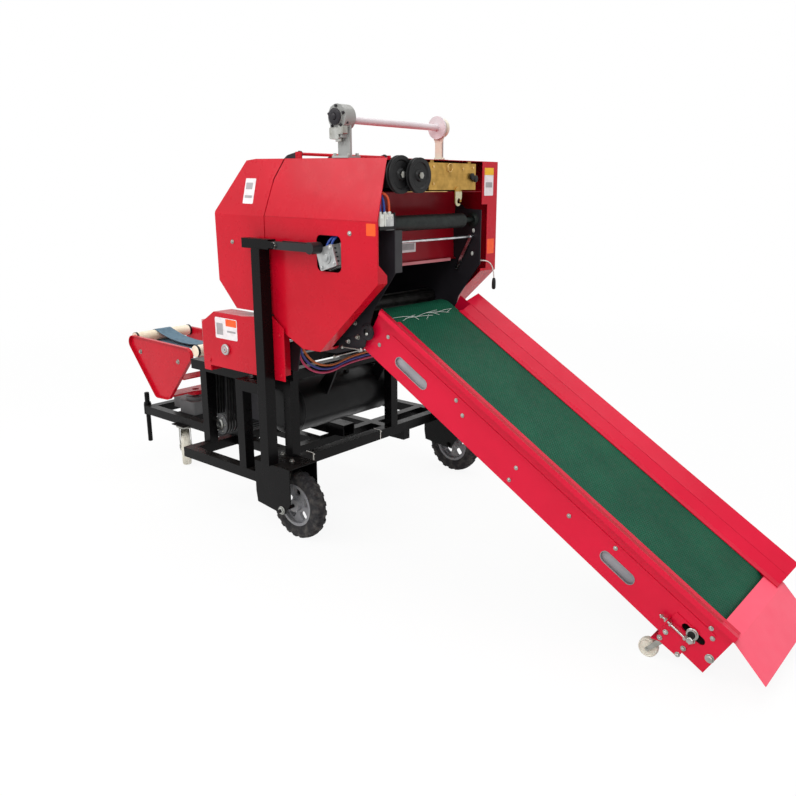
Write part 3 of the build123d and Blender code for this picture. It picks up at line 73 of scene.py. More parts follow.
def new_finish(name, **constants):
    """A material with its shader, whose sockets that are the same all over are set here."""
    material = bpy.data.materials.new(name)
    material.use_nodes = True
    shader = material.node_tree.nodes["Principled BSDF"]
    for key, value in constants.items():
        shader.inputs[key.replace("_", " ")].default_value = value
    return material, material.node_tree, shader


def grain(tree, size_mm, detail=3.0, stretch=(1, 1, 1)):
    """Noise over the piece's own place, with grains of a real size in millimetres."""
    place = add_node(tree, "ShaderNodeTexCoord").outputs["Object"]
    scaled = add_node(tree, "ShaderNodeMapping", {"Vector": place, "Scale": stretch})
    return add_node(tree, "ShaderNodeTexNoise", {
        "Vector": scaled.outputs[0], "Scale": 1000 / size_mm, "Detail": detail}).outputs[0]


def spread(tree, value, low, high, to_low=0.0, to_high=1.0):
    """A value's band from low to high stretched over another band, and clamped there."""
    return add_node(tree, "ShaderNodeMapRange", {
        "Value": value, "From Min": low, "From Max": high, "To Min": to_low, "To Max": to_high,
    }).outputs[0]


def combine(tree, operation, first, second):
    """Two values worked into one."""
    return add_node(tree, "ShaderNodeMath", {0: first, 1: second}, operation=operation).outputs[0]


def blend_colours(tree, factor, first, second):
    """Two colours mixed by a factor that varies over the surface."""
    sockets = {0: factor, 6: first, 7: second}  # 6, 7 and output 2 are the ones for colours
    return add_node(tree, "ShaderNodeMix", sockets, data_type="RGBA").outputs[2]


def dust_mask(tree, amount):
    """How much dust lies on a face: the more it looks up the more, in uneven patches."""
    facing = add_node(tree, "ShaderNodeSeparateXYZ",
                      {0: add_node(tree, "ShaderNodeNewGeometry").outputs["Normal"]})
    upward = spread(tree, facing.outputs["Z"], 0.1, 1.0)
    patches = spread(tree, grain(tree, 90, 5), 0.35, 0.7, 0.25 * amount, amount)
    return combine(tree, "MULTIPLY", upward, patches)


def finish_surface(tree, shader, colour, roughness, bump_height, bump_mm, edge_mm=1.5):
    """Varied colour and roughness, and fine bump over edges rounded by a real radius."""
    rounded = add_node(tree, "ShaderNodeBevel", {"Radius": edge_mm / 1000}, samples=4)
    bump = add_node(tree, "ShaderNodeBump", {
        "Height": bump_height, "Distance": bump_mm / 1000, "Strength": 1.0,
        "Normal": rounded.outputs[0]}).outputs[0]
    for key, value in (("Base Color", colour), ("Roughness", roughness), ("Normal", bump)):
        tree.links.new(value, shader.inputs[key])


def sprayed_enamel(name, colour, shade, roughness, dust, gloss=0.3, coat=0.2, peel_mm=0.03):
    """Enamel sprayed on steel: a wet gloss with orange peel, mottled a little, under some dust."""
    material, tree, shader = new_finish(
        name, Coat_Weight=coat, Coat_Roughness=0.12, IOR=1.5, Specular_IOR_Level=gloss)
    mottle = spread(tree, grain(tree, 260, 4), 0.3, 0.7)
    paint = blend_colours(tree, mottle, linear(colour), linear(shade))
    dusty = blend_colours(tree, dust_mask(tree, dust), paint, linear(YARD_DUST))
    rough = spread(tree, grain(tree, 45, 5), 0.35, 0.7, roughness - 0.06, roughness + 0.1)
    finish_surface(tree, shader, dusty, rough, grain(tree, 7, 1), peel_mm)
    return material


def dress(material, *names):
    """Puts a finish on CAD nodes, whose shape is right as it is."""
    for name in names:
        nodes[name].data.materials.clear()
        nodes[name].data.materials.append(material)


def frame_at(place, direction, upward=None):
    """A frame in millimetres at a place: z along a direction, x to its right and y up."""
    z = Vector(direction).normalized()
    if upward is None:
        upward = FAR if abs(z.z) > 0.9 else UP
    x = Vector(upward).cross(z).normalized()
    turn = Matrix((x, z.cross(x), z)).transposed().to_4x4()
    return Matrix.Translation(Vector(place) / 1000) @ turn @ world_mm


def add_skin(form, frame_in, loops, closed):
    """Rings of points in a frame joined by faces; its two ends are joined too, or else capped."""
    rings = [[form.verts.new(frame_in @ Vector(point)) for point in loop] for loop in loops]
    pairs = list(zip(rings, rings[1:]))
    if closed:
        pairs.append((rings[-1], rings[0]))
    else:
        form.faces.new(rings[0][::-1])
        form.faces.new(rings[-1])
    for low, high in pairs:
        for k in range(len(low)):
            after = (k + 1) % len(low)
            form.faces.new((low[k], low[after], high[after], high[k]))


def circle(radius, sides, height=0.0):
    """The points of a circle at a height."""
    return [(radius * cos(2 * pi * k / sides), radius * sin(2 * pi * k / sides), height)
            for k in range(sides)]


def add_turned(form, frame_in, profile, sides=24, closed=False):
    """A turned piece: a profile of radius and height round the frame's z."""
    add_skin(form, frame_in, [circle(radius, sides, height) for radius, height in profile], closed)


def add_prism(form, frame_in, outline, low, high):
    """An outline in the frame's x and y, made solid from low to high."""
    loops = [[(x, y, height) for x, y in outline] for height in (low, high)]
    add_skin(form, frame_in, loops, False)


def add_band(form, frame_in, outer, inner, low, high):
    """A ring between two outlines with as many points, solid from low to high."""
    corners = ((outer, low), (outer, high), (inner, high), (inner, low))
    loops = [[(x, y, height) for x, y in outline] for outline, height in corners]
    add_skin(form, frame_in, loops, True)


def rounded_box(width, height, radius, steps=4, centre=(0, 0)):
    """The outline of a rectangle with round corners."""
    outline = []
    for sx, sy, start in ((1, 1, 0), (-1, 1, 90), (-1, -1, 180), (1, -1, 270)):
        for k in range(steps + 1):
            angle = radians(start + 90 * k / steps)
            outline.append((centre[0] + sx * (width / 2 - radius) + radius * cos(angle),
                            centre[1] + sy * (height / 2 - radius) + radius * sin(angle)))
    return outline


def finished_piece(name, form, material, body="chassis", smooth_deg=35):
    """An object from a mesh under making, with its finish and its body."""
    bmesh.ops.recalc_face_normals(form, faces=form.faces)
    mesh = bpy.data.meshes.new(name)
    form.to_mesh(mesh)
    form.free()
    mesh.shade_smooth()
    mesh.set_sharp_from_angle(angle=radians(smooth_deg))
    mesh.materials.append(material)
    piece = bpy.data.objects.new(name, mesh)
    scene.collection.objects.link(piece)
    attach(piece, body)
    return piece


def add_bolt(form, seat, across, height, washer):
    """A hexagon head with chamfered corners over its washer."""
    corner = across / cos(pi / 6) / 2
    add_turned(form, seat, [(washer, 0), (washer, 1.4), (washer - 0.6, 2)], 20)
    add_turned(form, seat, [(corner, 2), (corner, height - 1.5), (corner - 2, height)], 6)


def bolt_set(name, places, direction, across, height, washer, material, body="chassis"):
    """Bolts that point one way, at places in millimetres."""
    form = bmesh.new()
    for place in places:
        add_bolt(form, frame_at(place, direction), across, height, washer)
    finished_piece(name, form, material, body, 25)


black_enamel = sprayed_enamel(
    "black_gloss_enamel", "#060506", "#0b0a0b", 0.3, 0.03, gloss=0.09, coat=0.06)
dress(black_enamel, "base_frame", "wheel_fork_near", "wheel_fork_far", "deck_frame", "control_post",
      "lift_socket", "tow_pin")
arm_enamel = sprayed_enamel(
    "charcoal_enamel", "#1d1d1f", "#29292b", 0.34, 0.05, gloss=0.2, coat=0.1)
dress(arm_enamel, "film_arm")

# Cable ties: white nylon straps pulled tight round the front cross tube, each with a small head.
# The smooth nylon stands out white against the black tube.


def moulded_plastic(name, colour, worn, roughness, patch_mm=30, bump_mm=0.15, pit_mm=2.5,
                    gloss=0.35):
    """Rubber or plastic from a mould: a little paler where it rubs, with a fine pitted skin."""
    material, tree, shader = new_finish(name, IOR=1.5, Specular_IOR_Level=gloss)
    scuff = spread(tree, grain(tree, patch_mm, 6), 0.45, 0.75)
    rubbed = blend_colours(tree, scuff, linear(colour), linear(worn))
    rough = spread(tree, grain(tree, 12, 3), 0.3, 0.7, roughness - 0.08, roughness + 0.1)
    finish_surface(tree, shader, rubbed, rough, grain(tree, pit_mm, 2), bump_mm)
    return material


white_nylon = moulded_plastic("white_nylon", "#e8e6e0", "#d5d2ca", 0.4, 20, 0.03)
CROSS_TUBE_X, CROSS_TUBE_Z = -307.5, 304.5
STRAP_OUTER, STRAP_INNER = 47.6, 45.2
form = bmesh.new()
for tie_y in (-405, 28):
    strap = frame_at((CROSS_TUBE_X, tie_y, CROSS_TUBE_Z), NEAR)
    outer = rounded_box(STRAP_OUTER, STRAP_OUTER, 4)
    add_band(form, strap, outer, rounded_box(STRAP_INNER, STRAP_INNER, 2.6), -2.5, 2.5)
    add_prism(form, strap, rounded_box(7, 5, 1, centre=(25, 18)), -3.5, 3.5)
finished_piece("cable_ties", form, white_nylon)

# Front wheels: solid rubber tyres moulded on grey nylon hubs. Blocks of tread stand along both
# shoulders, half a pitch apart, and the rubber is scuffed grey by concrete.
TYRE_BLOCKS = 22
BLOCK_HEIGHT = 6
WHEEL_X, WHEEL_Y, WHEEL_Z = -230, 545, 150
tyre_rubber = moulded_plastic("tyre_rubber", "#2c2b2d", "#55524f", 0.78, bump_mm=0.2, gloss=0.2)
hub_nylon = moulded_plastic("grey_nylon", "#86868a", "#969591", 0.48, 60, 0.08)


def tyre_section(near_raised, far_raised):
    """The tyre's outline, radius and width, with or without a block on each shoulder."""
    near = 0 if near_raised else BLOCK_HEIGHT
    far = 0 if far_raised else BLOCK_HEIGHT
    return [(92.4, -23), (105, -28.6), (120, -28.8), (134 - near, -28.8 + near * 0.3),
            (145.5 - near, -22), (149 - near, -9), (149.4, -4), (149.4, 4), (149 - far, 9),
            (145.5 - far, 22), (134 - far, 28.8 - far * 0.3), (120, 28.8), (105, 28.6), (92.4, 23)]


tread_steps = [
    # share of a block's pitch, near block raised, far block raised
    (0.0, True, False), (0.42, True, False), (0.5, False, False),
    (0.52, False, True), (0.94, False, True), (0.98, False, False),
]
for place, side in (("near", -1), ("far", 1)):
    form = bmesh.new()
    rings = []
    for k in range(TYRE_BLOCKS):
        for share, near_raised, far_raised in tread_steps:
            angle = 2 * pi * (k + share) / TYRE_BLOCKS
            section = tyre_section(near_raised, far_raised)
            rings.append([(r * cos(angle), w, r * sin(angle)) for r, w in section])
    hub_place = Vector((WHEEL_X, side * WHEEL_Y, WHEEL_Z)) / 1000
    add_skin(form, Matrix.Translation(hub_place) @ world_mm, rings, True)
    tyre = finished_piece(
        f"tyre_with_blocks_{place}", form, tyre_rubber, f"front_wheel_{place}", 28)
    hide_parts(f"front_tyre_{place}")
dress(hub_nylon, "front_hub_near", "front_hub_far")

# Casters: zinc-plated pressed forks that turn on cream polyurethane wheels. The same bright
# plating covers the bolts of the front wheel forks and the nuts on their axles.


def plated_steel(name, colour, stain, roughness, stretch=(1, 1, 1), metal=1.0):
    """Plating or bare metal: a soft metal gloss, clouded, with a fine rolled grain."""
    material, tree, shader = new_finish(name, Metallic=metal)
    cloud = spread(tree, grain(tree, 35, 4), 0.35, 0.7)
    clouded = blend_colours(tree, cloud, linear(colour), linear(stain))
    streak = grain(tree, 5, 3, stretch)
    rough = spread(tree, streak, 0.3, 0.7, roughness - 0.08, roughness + 0.12)
    finish_surface(tree, shader, clouded, rough, streak, 0.02, 0.8)
    return material


zinc = plated_steel("clear_zinc_plate", "#b4b5b1", "#8f8d85", 0.36)
FORK_TOP_Z = 338
FORK_FACE_Y = 641.5
fork_bolts = [(x, side * y, FORK_TOP_Z) for side in (-1, 1) for x, y in ((-254, 555), (-350, 520))]
bolt_set("wheel_fork_bolts", fork_bolts, UP, 15, 9, 11, zinc)
for place, side in (("near", -1), ("far", 1)):
    axle_end = (WHEEL_X, side * FORK_FACE_Y, WHEEL_Z)
    bolt_set(f"axle_nut_{place}", [axle_end], (0, side, 0), 26.4, 9.6, 18, zinc)
cream_wheel = moulded_plastic("cream_polyurethane", "#dcd8cb", "#bdb6a4", 0.42, 40, 0.05)
for place in ("rear_near", "rear_far", "tail_near", "tail_far"):
    dress(zinc, f"caster_fork_{place}")
    dress(cream_wheel, f"caster_wheel_{place}")

# Chamber: cut steel plates painted dark grey inside and out, with fluted drums that the
# crop has dulled, bolted to the deck and to the conveyor's head.
dark_enamel = sprayed_enamel(
    "dark_grey_enamel", "#1e1c20", "#28262b", 0.5, 0.06, gloss=0.2, coat=0.05)
drum_steel = plated_steel("crop_dulled_steel", "#3a3938", "#232221", 0.5, (1, 0.02, 1))
dress(dark_enamel, "chamber_plates", "gate_shell")
dress(drum_steel, "chamber_rollers", "gate_rollers", "conveyor_drums")
NEAR_PLATE_Y, FAR_PLATE_Y = -504, 24
DRUM_X, DRUM_Z = 142.9, 928.4
plate_bolts = [(x, NEAR_PLATE_Y, z) for x, z in ((77, 955), (91, 902), (143, 921), (40, 880))]
bolt_set("chamber_plate_bolts", plate_bolts, NEAR, 13, 10, 10, zinc)
form = bmesh.new()
for face_y, way in ((NEAR_PLATE_Y, -1), (FAR_PLATE_Y, 1)):
    flange = frame_at((DRUM_X, face_y, DRUM_Z), (0, way, 0))
    add_turned(form, flange,
               [(14, 0), (32, 0), (32, 4), (28, 5), (24, 11), (14, 11)], 32, closed=True)
finished_piece("belt_drum_bearings", form, dark_enamel)

# Gate springs: thin rods with flattened eyes, zinc plated, from the near plate to the conveyor's
# head. They hang on pins welded to the plate and catch the light.
spring_rods = [((-30, -512, 810), (105, -512, 853)), ((20, -519, 857), (121, -519, 859))]
form = bmesh.new()
for start, end in spring_rods:
    run = Vector(end) - Vector(start)
    add_turned(form, frame_at(start, run, FAR), [(2.6, 0), (2.6, run.length)], 10)
    for place in (start, end):
        add_turned(form, frame_at(place, NEAR), [(7, -3), (7, 2), (3, 4)], 14)
        pin = frame_at((place[0], NEAR_PLATE_Y, place[2]), NEAR)
        add_turned(form, pin, [(3, 0), (3, 14)], 10)
finished_piece("gate_spring_rods", form, zinc)

# Covers and gate: folded steel sheet in deep red gloss enamel, whose leaning upper panels
# mirror the sky. A strip of the same sheet closes the seam from behind, below its upper part.
red_enamel = sprayed_enamel(
    "red_gloss_enamel", "#c60a25", "#b8061f", 0.3, 0.02, gloss=0.14, coat=0.14, peel_mm=0.006)
dress(red_enamel, "side_covers", "gate_covers", "chamber_ties", "drive_hood", "table_frame")
COVER_FACE_Y = -595
LEAN_START_Z = 1340
LEAN_IN, LEAN_RISE = 55, 216
SEAM_HALF_WIDTH = 14
SEAM_DEPTHS = (2.6, 3.6)
seam_line = [(-292.5, 1466), (-313.5, 1345), (-315, 1338), (-315, 1250), (-311.5, 975)]


def near_skin_y(z, depth):
    """The near cover's face at a height, a depth behind it: upright, then leaning in."""
    return COVER_FACE_Y + depth + max(0.0, z - LEAN_START_Z) * LEAN_IN / LEAN_RISE


form = bmesh.new()
front_depth, back_depth = SEAM_DEPTHS
strip_section = [(-SEAM_HALF_WIDTH, front_depth), (SEAM_HALF_WIDTH, front_depth),
                 (SEAM_HALF_WIDTH, back_depth), (-SEAM_HALF_WIDTH, back_depth)]
add_skin(form, world_mm, [
    [(x + across, near_skin_y(z, depth), z) for across, depth in strip_section]
    for x, z in seam_line], False)
finished_piece("seam_strip", form, red_enamel, smooth_deg=20)
for name, x, z, body in (("front", 146, 1296, "chassis"), ("rear", -518, 1232, "gate")):
    bolt_set(f"cover_bolt_{name}", [(x, COVER_FACE_Y, z)], NEAR, 12, 7, 9, zinc, body)
arm_hinge_face = (-188, -659.2, 1239)
form = bmesh.new()
add_turned(form, frame_at(arm_hinge_face, NEAR), [(12.6, 0), (12.6, 6.2), (11.2, 7.6)], 6)
finished_piece("arm_hinge_nut", form, zinc)

# Upper panel: the leaning sheet of the fixed near cover, of the same enamelled steel, lapped over
# the cover's own sheet from the seam to the front edge.
PANEL_LOW_Z, PANEL_TOP_Z = 1341, 1555.6
PANEL_FRONT_X = 278.8
PANEL_DEPTHS = (-0.35, -1.3)
lean_panel = [(-286, 1480), (-311, PANEL_LOW_Z), (PANEL_FRONT_X, PANEL_LOW_Z),
              (PANEL_FRONT_X, PANEL_TOP_Z), (-228, PANEL_TOP_Z)]
form = bmesh.new()
add_skin(form, world_mm, [
    [(x, near_skin_y(z, depth), z) for x, z in lean_panel] for depth in PANEL_DEPTHS], False)
finished_piece("near_cover_upper_panel", form, red_enamel, smooth_deg=20)

# Labels: printed vinyl film with a coloured head band, pressed on the sheet. They are blank, and
# plain grey panels lie where their print would be.


def vinyl(name, colour, worn):
    """Vinyl film: an even satin print that dulls in patches."""
    return moulded_plastic(name, colour, worn, 0.35, 25, 0.01)


white_vinyl = vinyl("white_vinyl", "#e9e3e4", "#d9cfd2")
grey_vinyl = vinyl("grey_vinyl", "#a5a0a3", "#95908f")
orange_vinyl = vinyl("orange_vinyl", "#ff5a1c", "#f24d14")
yellow_vinyl = vinyl("yellow_vinyl", "#f0b81c", "#dfa818")


def sheet_label(name, seat, width, height, material, centre=(0, 0), lift=0.15, body="chassis"):
    """A film with round corners on a face, lifted off it by little more than nothing."""
    form = bmesh.new()
    outline = rounded_box(width, height, min(width, height) * 0.06, 2, centre)
    add_prism(form, seat, outline, lift, lift + 0.25)
    finished_piece(name, form, material, body)


lean_out = Vector((0, -LEAN_RISE, LEAN_IN))
GATE_LABEL_Z = 1433
gate_face = frame_at((-425, near_skin_y(GATE_LABEL_Z, 0), GATE_LABEL_Z), lean_out)
sheet_label("gate_label", gate_face, 62, 100, white_vinyl, body="gate")
sheet_label("gate_label_panel", gate_face, 40, 26, grey_vinyl, (-4, 20), 0.5, "gate")
sheet_label("gate_label_line", gate_face, 44, 10, grey_vinyl, (-2, -22), 0.5, "gate")
near_side = frame_at((249, COVER_FACE_Y, 1313), NEAR)
sheet_label("near_orange_label", near_side, 44, 42, orange_vinyl)
FRONT_EDGE_X = 279
far_front = frame_at((FRONT_EDGE_X, 92, 1222), FRONT)
sheet_label("far_orange_label", far_front, 48, 60, orange_vinyl)
far_top = frame_at((FRONT_EDGE_X, 70, 1478), FRONT)
sheet_label("far_label", far_top, 62, 108, white_vinyl)
sheet_label("far_label_band", far_top, 62, 28, yellow_vinyl, (0, 40), 0.5)
sheet_label("far_label_panel", far_top, 46, 20, grey_vinyl, (0, -12), 0.5)

# Front guard: bent sheet in a darker, dustier red behind the roller, its top edge a bare brass
# coloured strip and its lower lip a pale pink strip that is a painted highlight, with a blank
# plate.
guard_enamel = sprayed_enamel(
    "dusty_red_enamel", "#a3081f", "#8b0619", 0.4, 0.03, gloss=0.15, coat=0.1)
# Pale pink enamel for the guard's lower lip: a painted highlight where the light catches it.
lip_highlight_paint = sprayed_enamel("painted_highlight_pink_enamel", "#d98a90", "#c87078", 0.45, 0.1)
brass_edge = plated_steel("brass_passivated_edge", "#d8b67a", "#b8965c", 0.34)
dress(guard_enamel, "front_guard")
GUARD_Y = -244
form = bmesh.new()
add_prism(form, frame_at((276.2, GUARD_Y, 1441.4), FAR), rounded_box(8, 3, 1, 2), -212, 40)
finished_piece("guard_top_edge", form, brass_edge)
form = bmesh.new()
add_prism(form, frame_at((156, GUARD_Y, 1168), FAR), rounded_box(5, 12, 1.5, 2), -225, 225)
finished_piece("guard_lip", form, lip_highlight_paint)
guard_plate = frame_at((142.5, -278, 1231), (1, 0, -0.03))
sheet_label("guard_label", guard_plate, 104, 42, white_vinyl, lift=1.2)
sheet_label("guard_label_panel", guard_plate, 84, 24, grey_vinyl, lift=1.55)

# Feed roller and rod across the front opening: black-green rubber on a ground steel shaft,
# with a flanged ball bearing on each plate and a channel down the near plate's front edge.
roller_rubber = moulded_plastic("black_green_rubber", "#0f1614", "#1c2522", 0.5, gloss=0.25)
ground_steel = plated_steel("ground_steel", "#d5d6d8", "#aeb0b2", 0.26, (1, 0.05, 1))
dress(roller_rubber, "feed_roller")
dress(ground_steel, "feed_rod")
ROLLER_X, ROLLER_Z = 239, 1329
form = bmesh.new()
for face_y, way in ((-500, 1), (20, -1), (FAR_PLATE_Y, 1)):
    add_turned(form, frame_at((ROLLER_X, face_y, ROLLER_Z), (0, way, 0)),
               [(10.8, 0), (30, 0), (30, 3), (22, 5), (18, 8), (10.8, 8)], 32, closed=True)
finished_piece("feed_roller_bearings", form, roller_rubber)
edge_grey = sprayed_enamel("edge_grey_enamel", "#232226", "#1c1b1f", 0.4, 0.05, gloss=0.3)
form = bmesh.new()
add_prism(form, frame_at((267, 0, 0), UP),
          [(-12, -499.6), (11, -499.6), (11, -462), (8, -462), (8, -497), (-12, -497)], 1158, 1308)
finished_piece("near_edge_channel", form, edge_grey)
bolt_set("front_plate_bolts", [(FRONT_EDGE_X, y, z) for y, z in ((-36, 1200), (-30, 1290))],
         FRONT, 10, 3, 8, zinc)

# Winding bracket, brake and discs: yellow passivated zinc sheet with black knobs and a wire
# ring, a pale cast hook, a black moulded block and two grooved black discs.
yellow_zinc = plated_steel(
    "yellow_zinc_plate", "#c39a4e", "#9c7a38", 0.42, (1, 0.08, 1), metal=0.85)
black_moulding = moulded_plastic("black_moulding", "#0e0e0f", "#1b1b1c", 0.42, 50, 0.04, gloss=0.25)
pale_hook = moulded_plastic("cast_hook_paint", "#c9c5a4", "#a8a37c", 0.5, 14, 0.1)
dress(yellow_zinc, "winding_bracket")
dress(black_moulding, "brake_block", "guide_disc_near", "guide_disc_middle", "hose_glands")
BRACKET_FACE_X = 282.2
form = bmesh.new()
for y, z in ((-60, 1497), (-38, 1489)):
    knob = frame_at((BRACKET_FACE_X, y, z), FRONT)
    add_turned(form, knob, [(6, 0), (6, 4), (13, 5), (13, 11), (9, 14)], 24)
finished_piece("bracket_knobs", form, black_moulding)
RING_R, WIRE_R, RING_STEPS = 15, 1.6, 28
ring_loops = []
for k in range(RING_STEPS):
    angle = 2 * pi * k / RING_STEPS
    ring_loops.append([((RING_R + out) * cos(angle), (RING_R + out) * sin(angle), 2.2 + lift)
                       for out, lift, _ in circle(WIRE_R, 8)])
form = bmesh.new()
add_skin(form, frame_at((284, -195, 1528), FRONT), ring_loops, True)
for y, z in ((-290, 1530), (-290, 1470), (-110, 1525), (-45, 1530)):
    add_turned(form, frame_at((BRACKET_FACE_X, y, z), FRONT), [(5, 0), (5, 2), (3, 3.2)], 16)
finished_piece("bracket_ring_and_rivets", form, brass_edge)
hook_outline = [(-19.6, -6), (-19.6, -48), (-13.72, -58), (-3.92, -61), (5.88, -58), (9.8, -52),
                (1.96, -50), (-3.92, -53), (-9.8, -46), (-8.82, -38), (0, -29), (8.82, -34),
                (12.74, -38), (18.62, -32), (19.6, -6)]
form = bmesh.new()
add_prism(form, frame_at((286.3, -142, 1447), FRONT), hook_outline, 0, 2.4)
finished_piece("pale_hook", form, pale_hook)
for name, place in (("near", (305, -491, 1500)), ("middle", (327, -417, 1498))):
    form = bmesh.new()
    add_turned(form, frame_at(place, FRONT), [(12, 3.2), (12, 4.5), (7, 6)], 6)
    finished_piece(f"disc_nut_{name}", form, zinc, f"disc_{name}")

# Valve on the near plate: three white cast bodies side by side over a black manifold, with
# short formed nylon pipes in blue and orange up behind the brake block.
cast_aluminium = plated_steel("cast_aluminium", "#c6c7c6", "#9fa1a1", 0.42, metal=0.7)
valve_white = moulded_plastic("valve_white_paint", "#dcded8", "#c4c5be", 0.45, 20, 0.05)
dress(cast_aluminium, "valve_blocks")
VALVE_Z = 1345
form = bmesh.new()
for valve_y in (-566, -542, -518):
    add_prism(form, frame_at((253.5, valve_y, VALVE_Z), FRONT), rounded_box(21, 42, 3), 1.8, 23)
    port = frame_at((266, valve_y, VALVE_Z + 21), UP)
    add_turned(form, port, [(7, 0), (7, 5), (5, 9)], 12)
    screw = frame_at((276.5, valve_y, VALVE_Z + 7), FRONT)
    add_turned(form, screw, [(4, 0), (4, 1.4), (2, 2)], 12)
finished_piece("valve_bodies", form, valve_white)
MANIFOLD_X = 252
form = bmesh.new()
add_prism(form, frame_at((MANIFOLD_X, -542, VALVE_Z - 27), FRONT), rounded_box(78, 12, 2), 2, 26)
add_prism(form, frame_at((MANIFOLD_X, -502, VALVE_Z), FRONT), rounded_box(8, 52, 1.5), 0, 25)
finished_piece("valve_manifold", form, black_moulding)


def smooth_line(name, points, steps):
    """A smooth curve from the first of a few control points to the last."""
    line = bpy.data.curves.new(name, "CURVE")
    line.dimensions = "3D"
    spline = line.splines.new("NURBS")
    spline.points.add(len(points) - 1)
    for point, place in zip(spline.points, points):
        point.co = (*place, 1.0)
    spline.order_u = 3
    spline.use_endpoint_u = True
    line.resolution_u = steps
    return line


def route_points(points):
    """Points along the smooth line that a few control points give."""
    line = smooth_line("route", points, 8)
    holder = bpy.data.objects.new("route", line)
    scene.collection.objects.link(holder)
    shaped = holder.evaluated_get(bpy.context.evaluated_depsgraph_get())
    read = bpy.data.meshes.new_from_object(shaped)
    places = [vert.co.copy() for vert in read.vertices]
    bpy.data.meshes.remove(read)
    bpy.data.objects.remove(holder)
    bpy.data.curves.remove(line)
    return places


def add_pipe(form, points, radius, sides=12):
    """A formed pipe round a smooth line, in millimetres, with flat ends."""
    places = route_points(points)
    side = Vector((0.31, 0.95, 0.05))  # no pipe runs along this way
    loops = []
    for k, place in enumerate(places):
        along = (places[min(k + 1, len(places) - 1)] - places[max(k - 1, 0)]).normalized()
        across = side.cross(along).normalized()
        lifted = along.cross(across)
        loops.append([place + u * across + v * lifted for u, v, _ in circle(radius, sides)])
    add_skin(form, world_mm, loops, False)


PIPE_R = 4.5
blue_nylon = moulded_plastic("blue_nylon", "#26479a", "#1d3c88", 0.3, 60, 0.01)
orange_nylon = moulded_plastic("orange_nylon", "#d9542a", "#c04820", 0.3, 60, 0.01)
blue_routes = [
    [(266, -566, 1372), (266, -566, 1398), (260, -562, 1424), (242, -556, 1440), (214, -548, 1450)],
    [(266, -544, 1372), (266, -545, 1396), (262, -549, 1424), (244, -546, 1440), (214, -540, 1444)],
    [(30, -596, 1243), (34, -594, 1258), (44, -584, 1274), (50, -560, 1292), (52, -530, 1300)],
    [(50, -596, 1237), (53, -594, 1256), (60, -584, 1276), (66, -560, 1292), (68, -530, 1300)],
]
orange_routes = [[(266, -519, 1372), (267, -519, 1402), (268, -530, 1428), (262, -546, 1438),
                  (240, -546, 1440), (214, -532, 1442)]]
for name, material, routes in (("blue_valve_pipes", blue_nylon, blue_routes),
                               ("orange_valve_pipe", orange_nylon, orange_routes)):
    form = bmesh.new()
    for route in routes:
        add_pipe(form, route, PIPE_R)
    finished_piece(name, form, material)

# Air cylinder in the cover's window: a bare cast block with four tie rods and dark fins, tilted
# with the gate's pull.
CYLINDER_TILT = radians(-18)
tilted = Matrix.Translation((0.040, -0.606, 1.205)) @ Matrix.Rotation(CYLINDER_TILT, 4, "Y")
facing_near = frame_at((0, 0, 0), NEAR).to_3x3().normalized().to_4x4()
head = tilted @ world_mm @ facing_near
form = bmesh.new()
add_prism(form, head, rounded_box(88, 80, 7), -3, 5)
for x, y in ((-33, -29), (33, -29), (-33, 29), (33, 29)):
    add_turned(form, head @ Matrix.Translation((x, y, 5)), [(7, 0), (7, 4), (4, 7)], 6)
add_turned(form, head @ Matrix.Translation((0, 0, 5)),
           [(24, 0), (24, 3), (14, 4), (14, 8), (11, 9)], 28)
finished_piece("cylinder_head", form, cast_aluminium, smooth_deg=25)
form = bmesh.new()
for level in (-24, -8, 8, 24):
    add_prism(form, head, rounded_box(92, 5, 1, centre=(0, level)), -12, -3.2)
finished_piece("cylinder_fins", form, black_moulding)

# Net stand: a grey cast gear head and its upright near, a cream pillow block far, under a
# thin white enamelled shaft.
head_enamel = sprayed_enamel(
    "gear_head_enamel", "#a3a4a2", "#82837f", 0.42, 0.12, gloss=0.4, peel_mm=0.12)
cream_enamel = sprayed_enamel("cream_enamel", "#e0dac8", "#cbc4b0", 0.42, 0.1, gloss=0.35)
shaft_enamel = sprayed_enamel("shaft_enamel", "#d8cfd2", "#c4b9bd", 0.3, 0.03, gloss=0.5)
dress(head_enamel, "net_stand")
dress(shaft_enamel, "net_shaft")
HEAD_X, HEAD_Z = 51, 1696
HEAD_BOLTS, HEAD_BOLT_R = 5, 37
form = bmesh.new()
head_front = frame_at((HEAD_X, -561, HEAD_Z), NEAR)
add_turned(form, head_front, [(12, -1), (29, -1), (29, 4), (25, 6), (12, 6)], 32, closed=True)
add_turned(form, head_front, [(11, 0), (11, 8), (8, 10)], 20)
for k in range(HEAD_BOLTS):
    angle = radians(360 / HEAD_BOLTS * k + 20)
    place = (HEAD_X + HEAD_BOLT_R * cos(angle), -553, HEAD_Z + HEAD_BOLT_R * sin(angle))
    add_turned(form, frame_at(place, NEAR), [(5.5, 0), (5.5, 5), (4, 7)], 6)
for x, z in ((16, 1716), (84, 1672)):
    add_turned(form, frame_at((x, -538, z), UP), [(8, 0), (8, 12), (6, 16)], 14)
finished_piece("gear_head_cap", form, dark_enamel)
form = bmesh.new()
add_prism(form, frame_at((37, -552.5, 1640), NEAR), rounded_box(46, 40, 5), -22, 2)
add_prism(form, frame_at((72, -552.5, 1652), NEAR), rounded_box(24, 30, 4), -20, 4)
add_turned(form, frame_at((48, -540, 1612), UP), [(13, 0), (13, 10), (10, 12)], 20)
finished_piece("gear_head_motor", form, zinc)
SHAFT_X, SHAFT_Z = 55, 1688
form = bmesh.new()
block = frame_at((SHAFT_X, 36.2, SHAFT_Z), FAR)
add_turned(form, block,
           [(14, -0.1), (36, -0.1), (38, 3), (38, 12), (34, 15), (14, 15)], 36, closed=True)
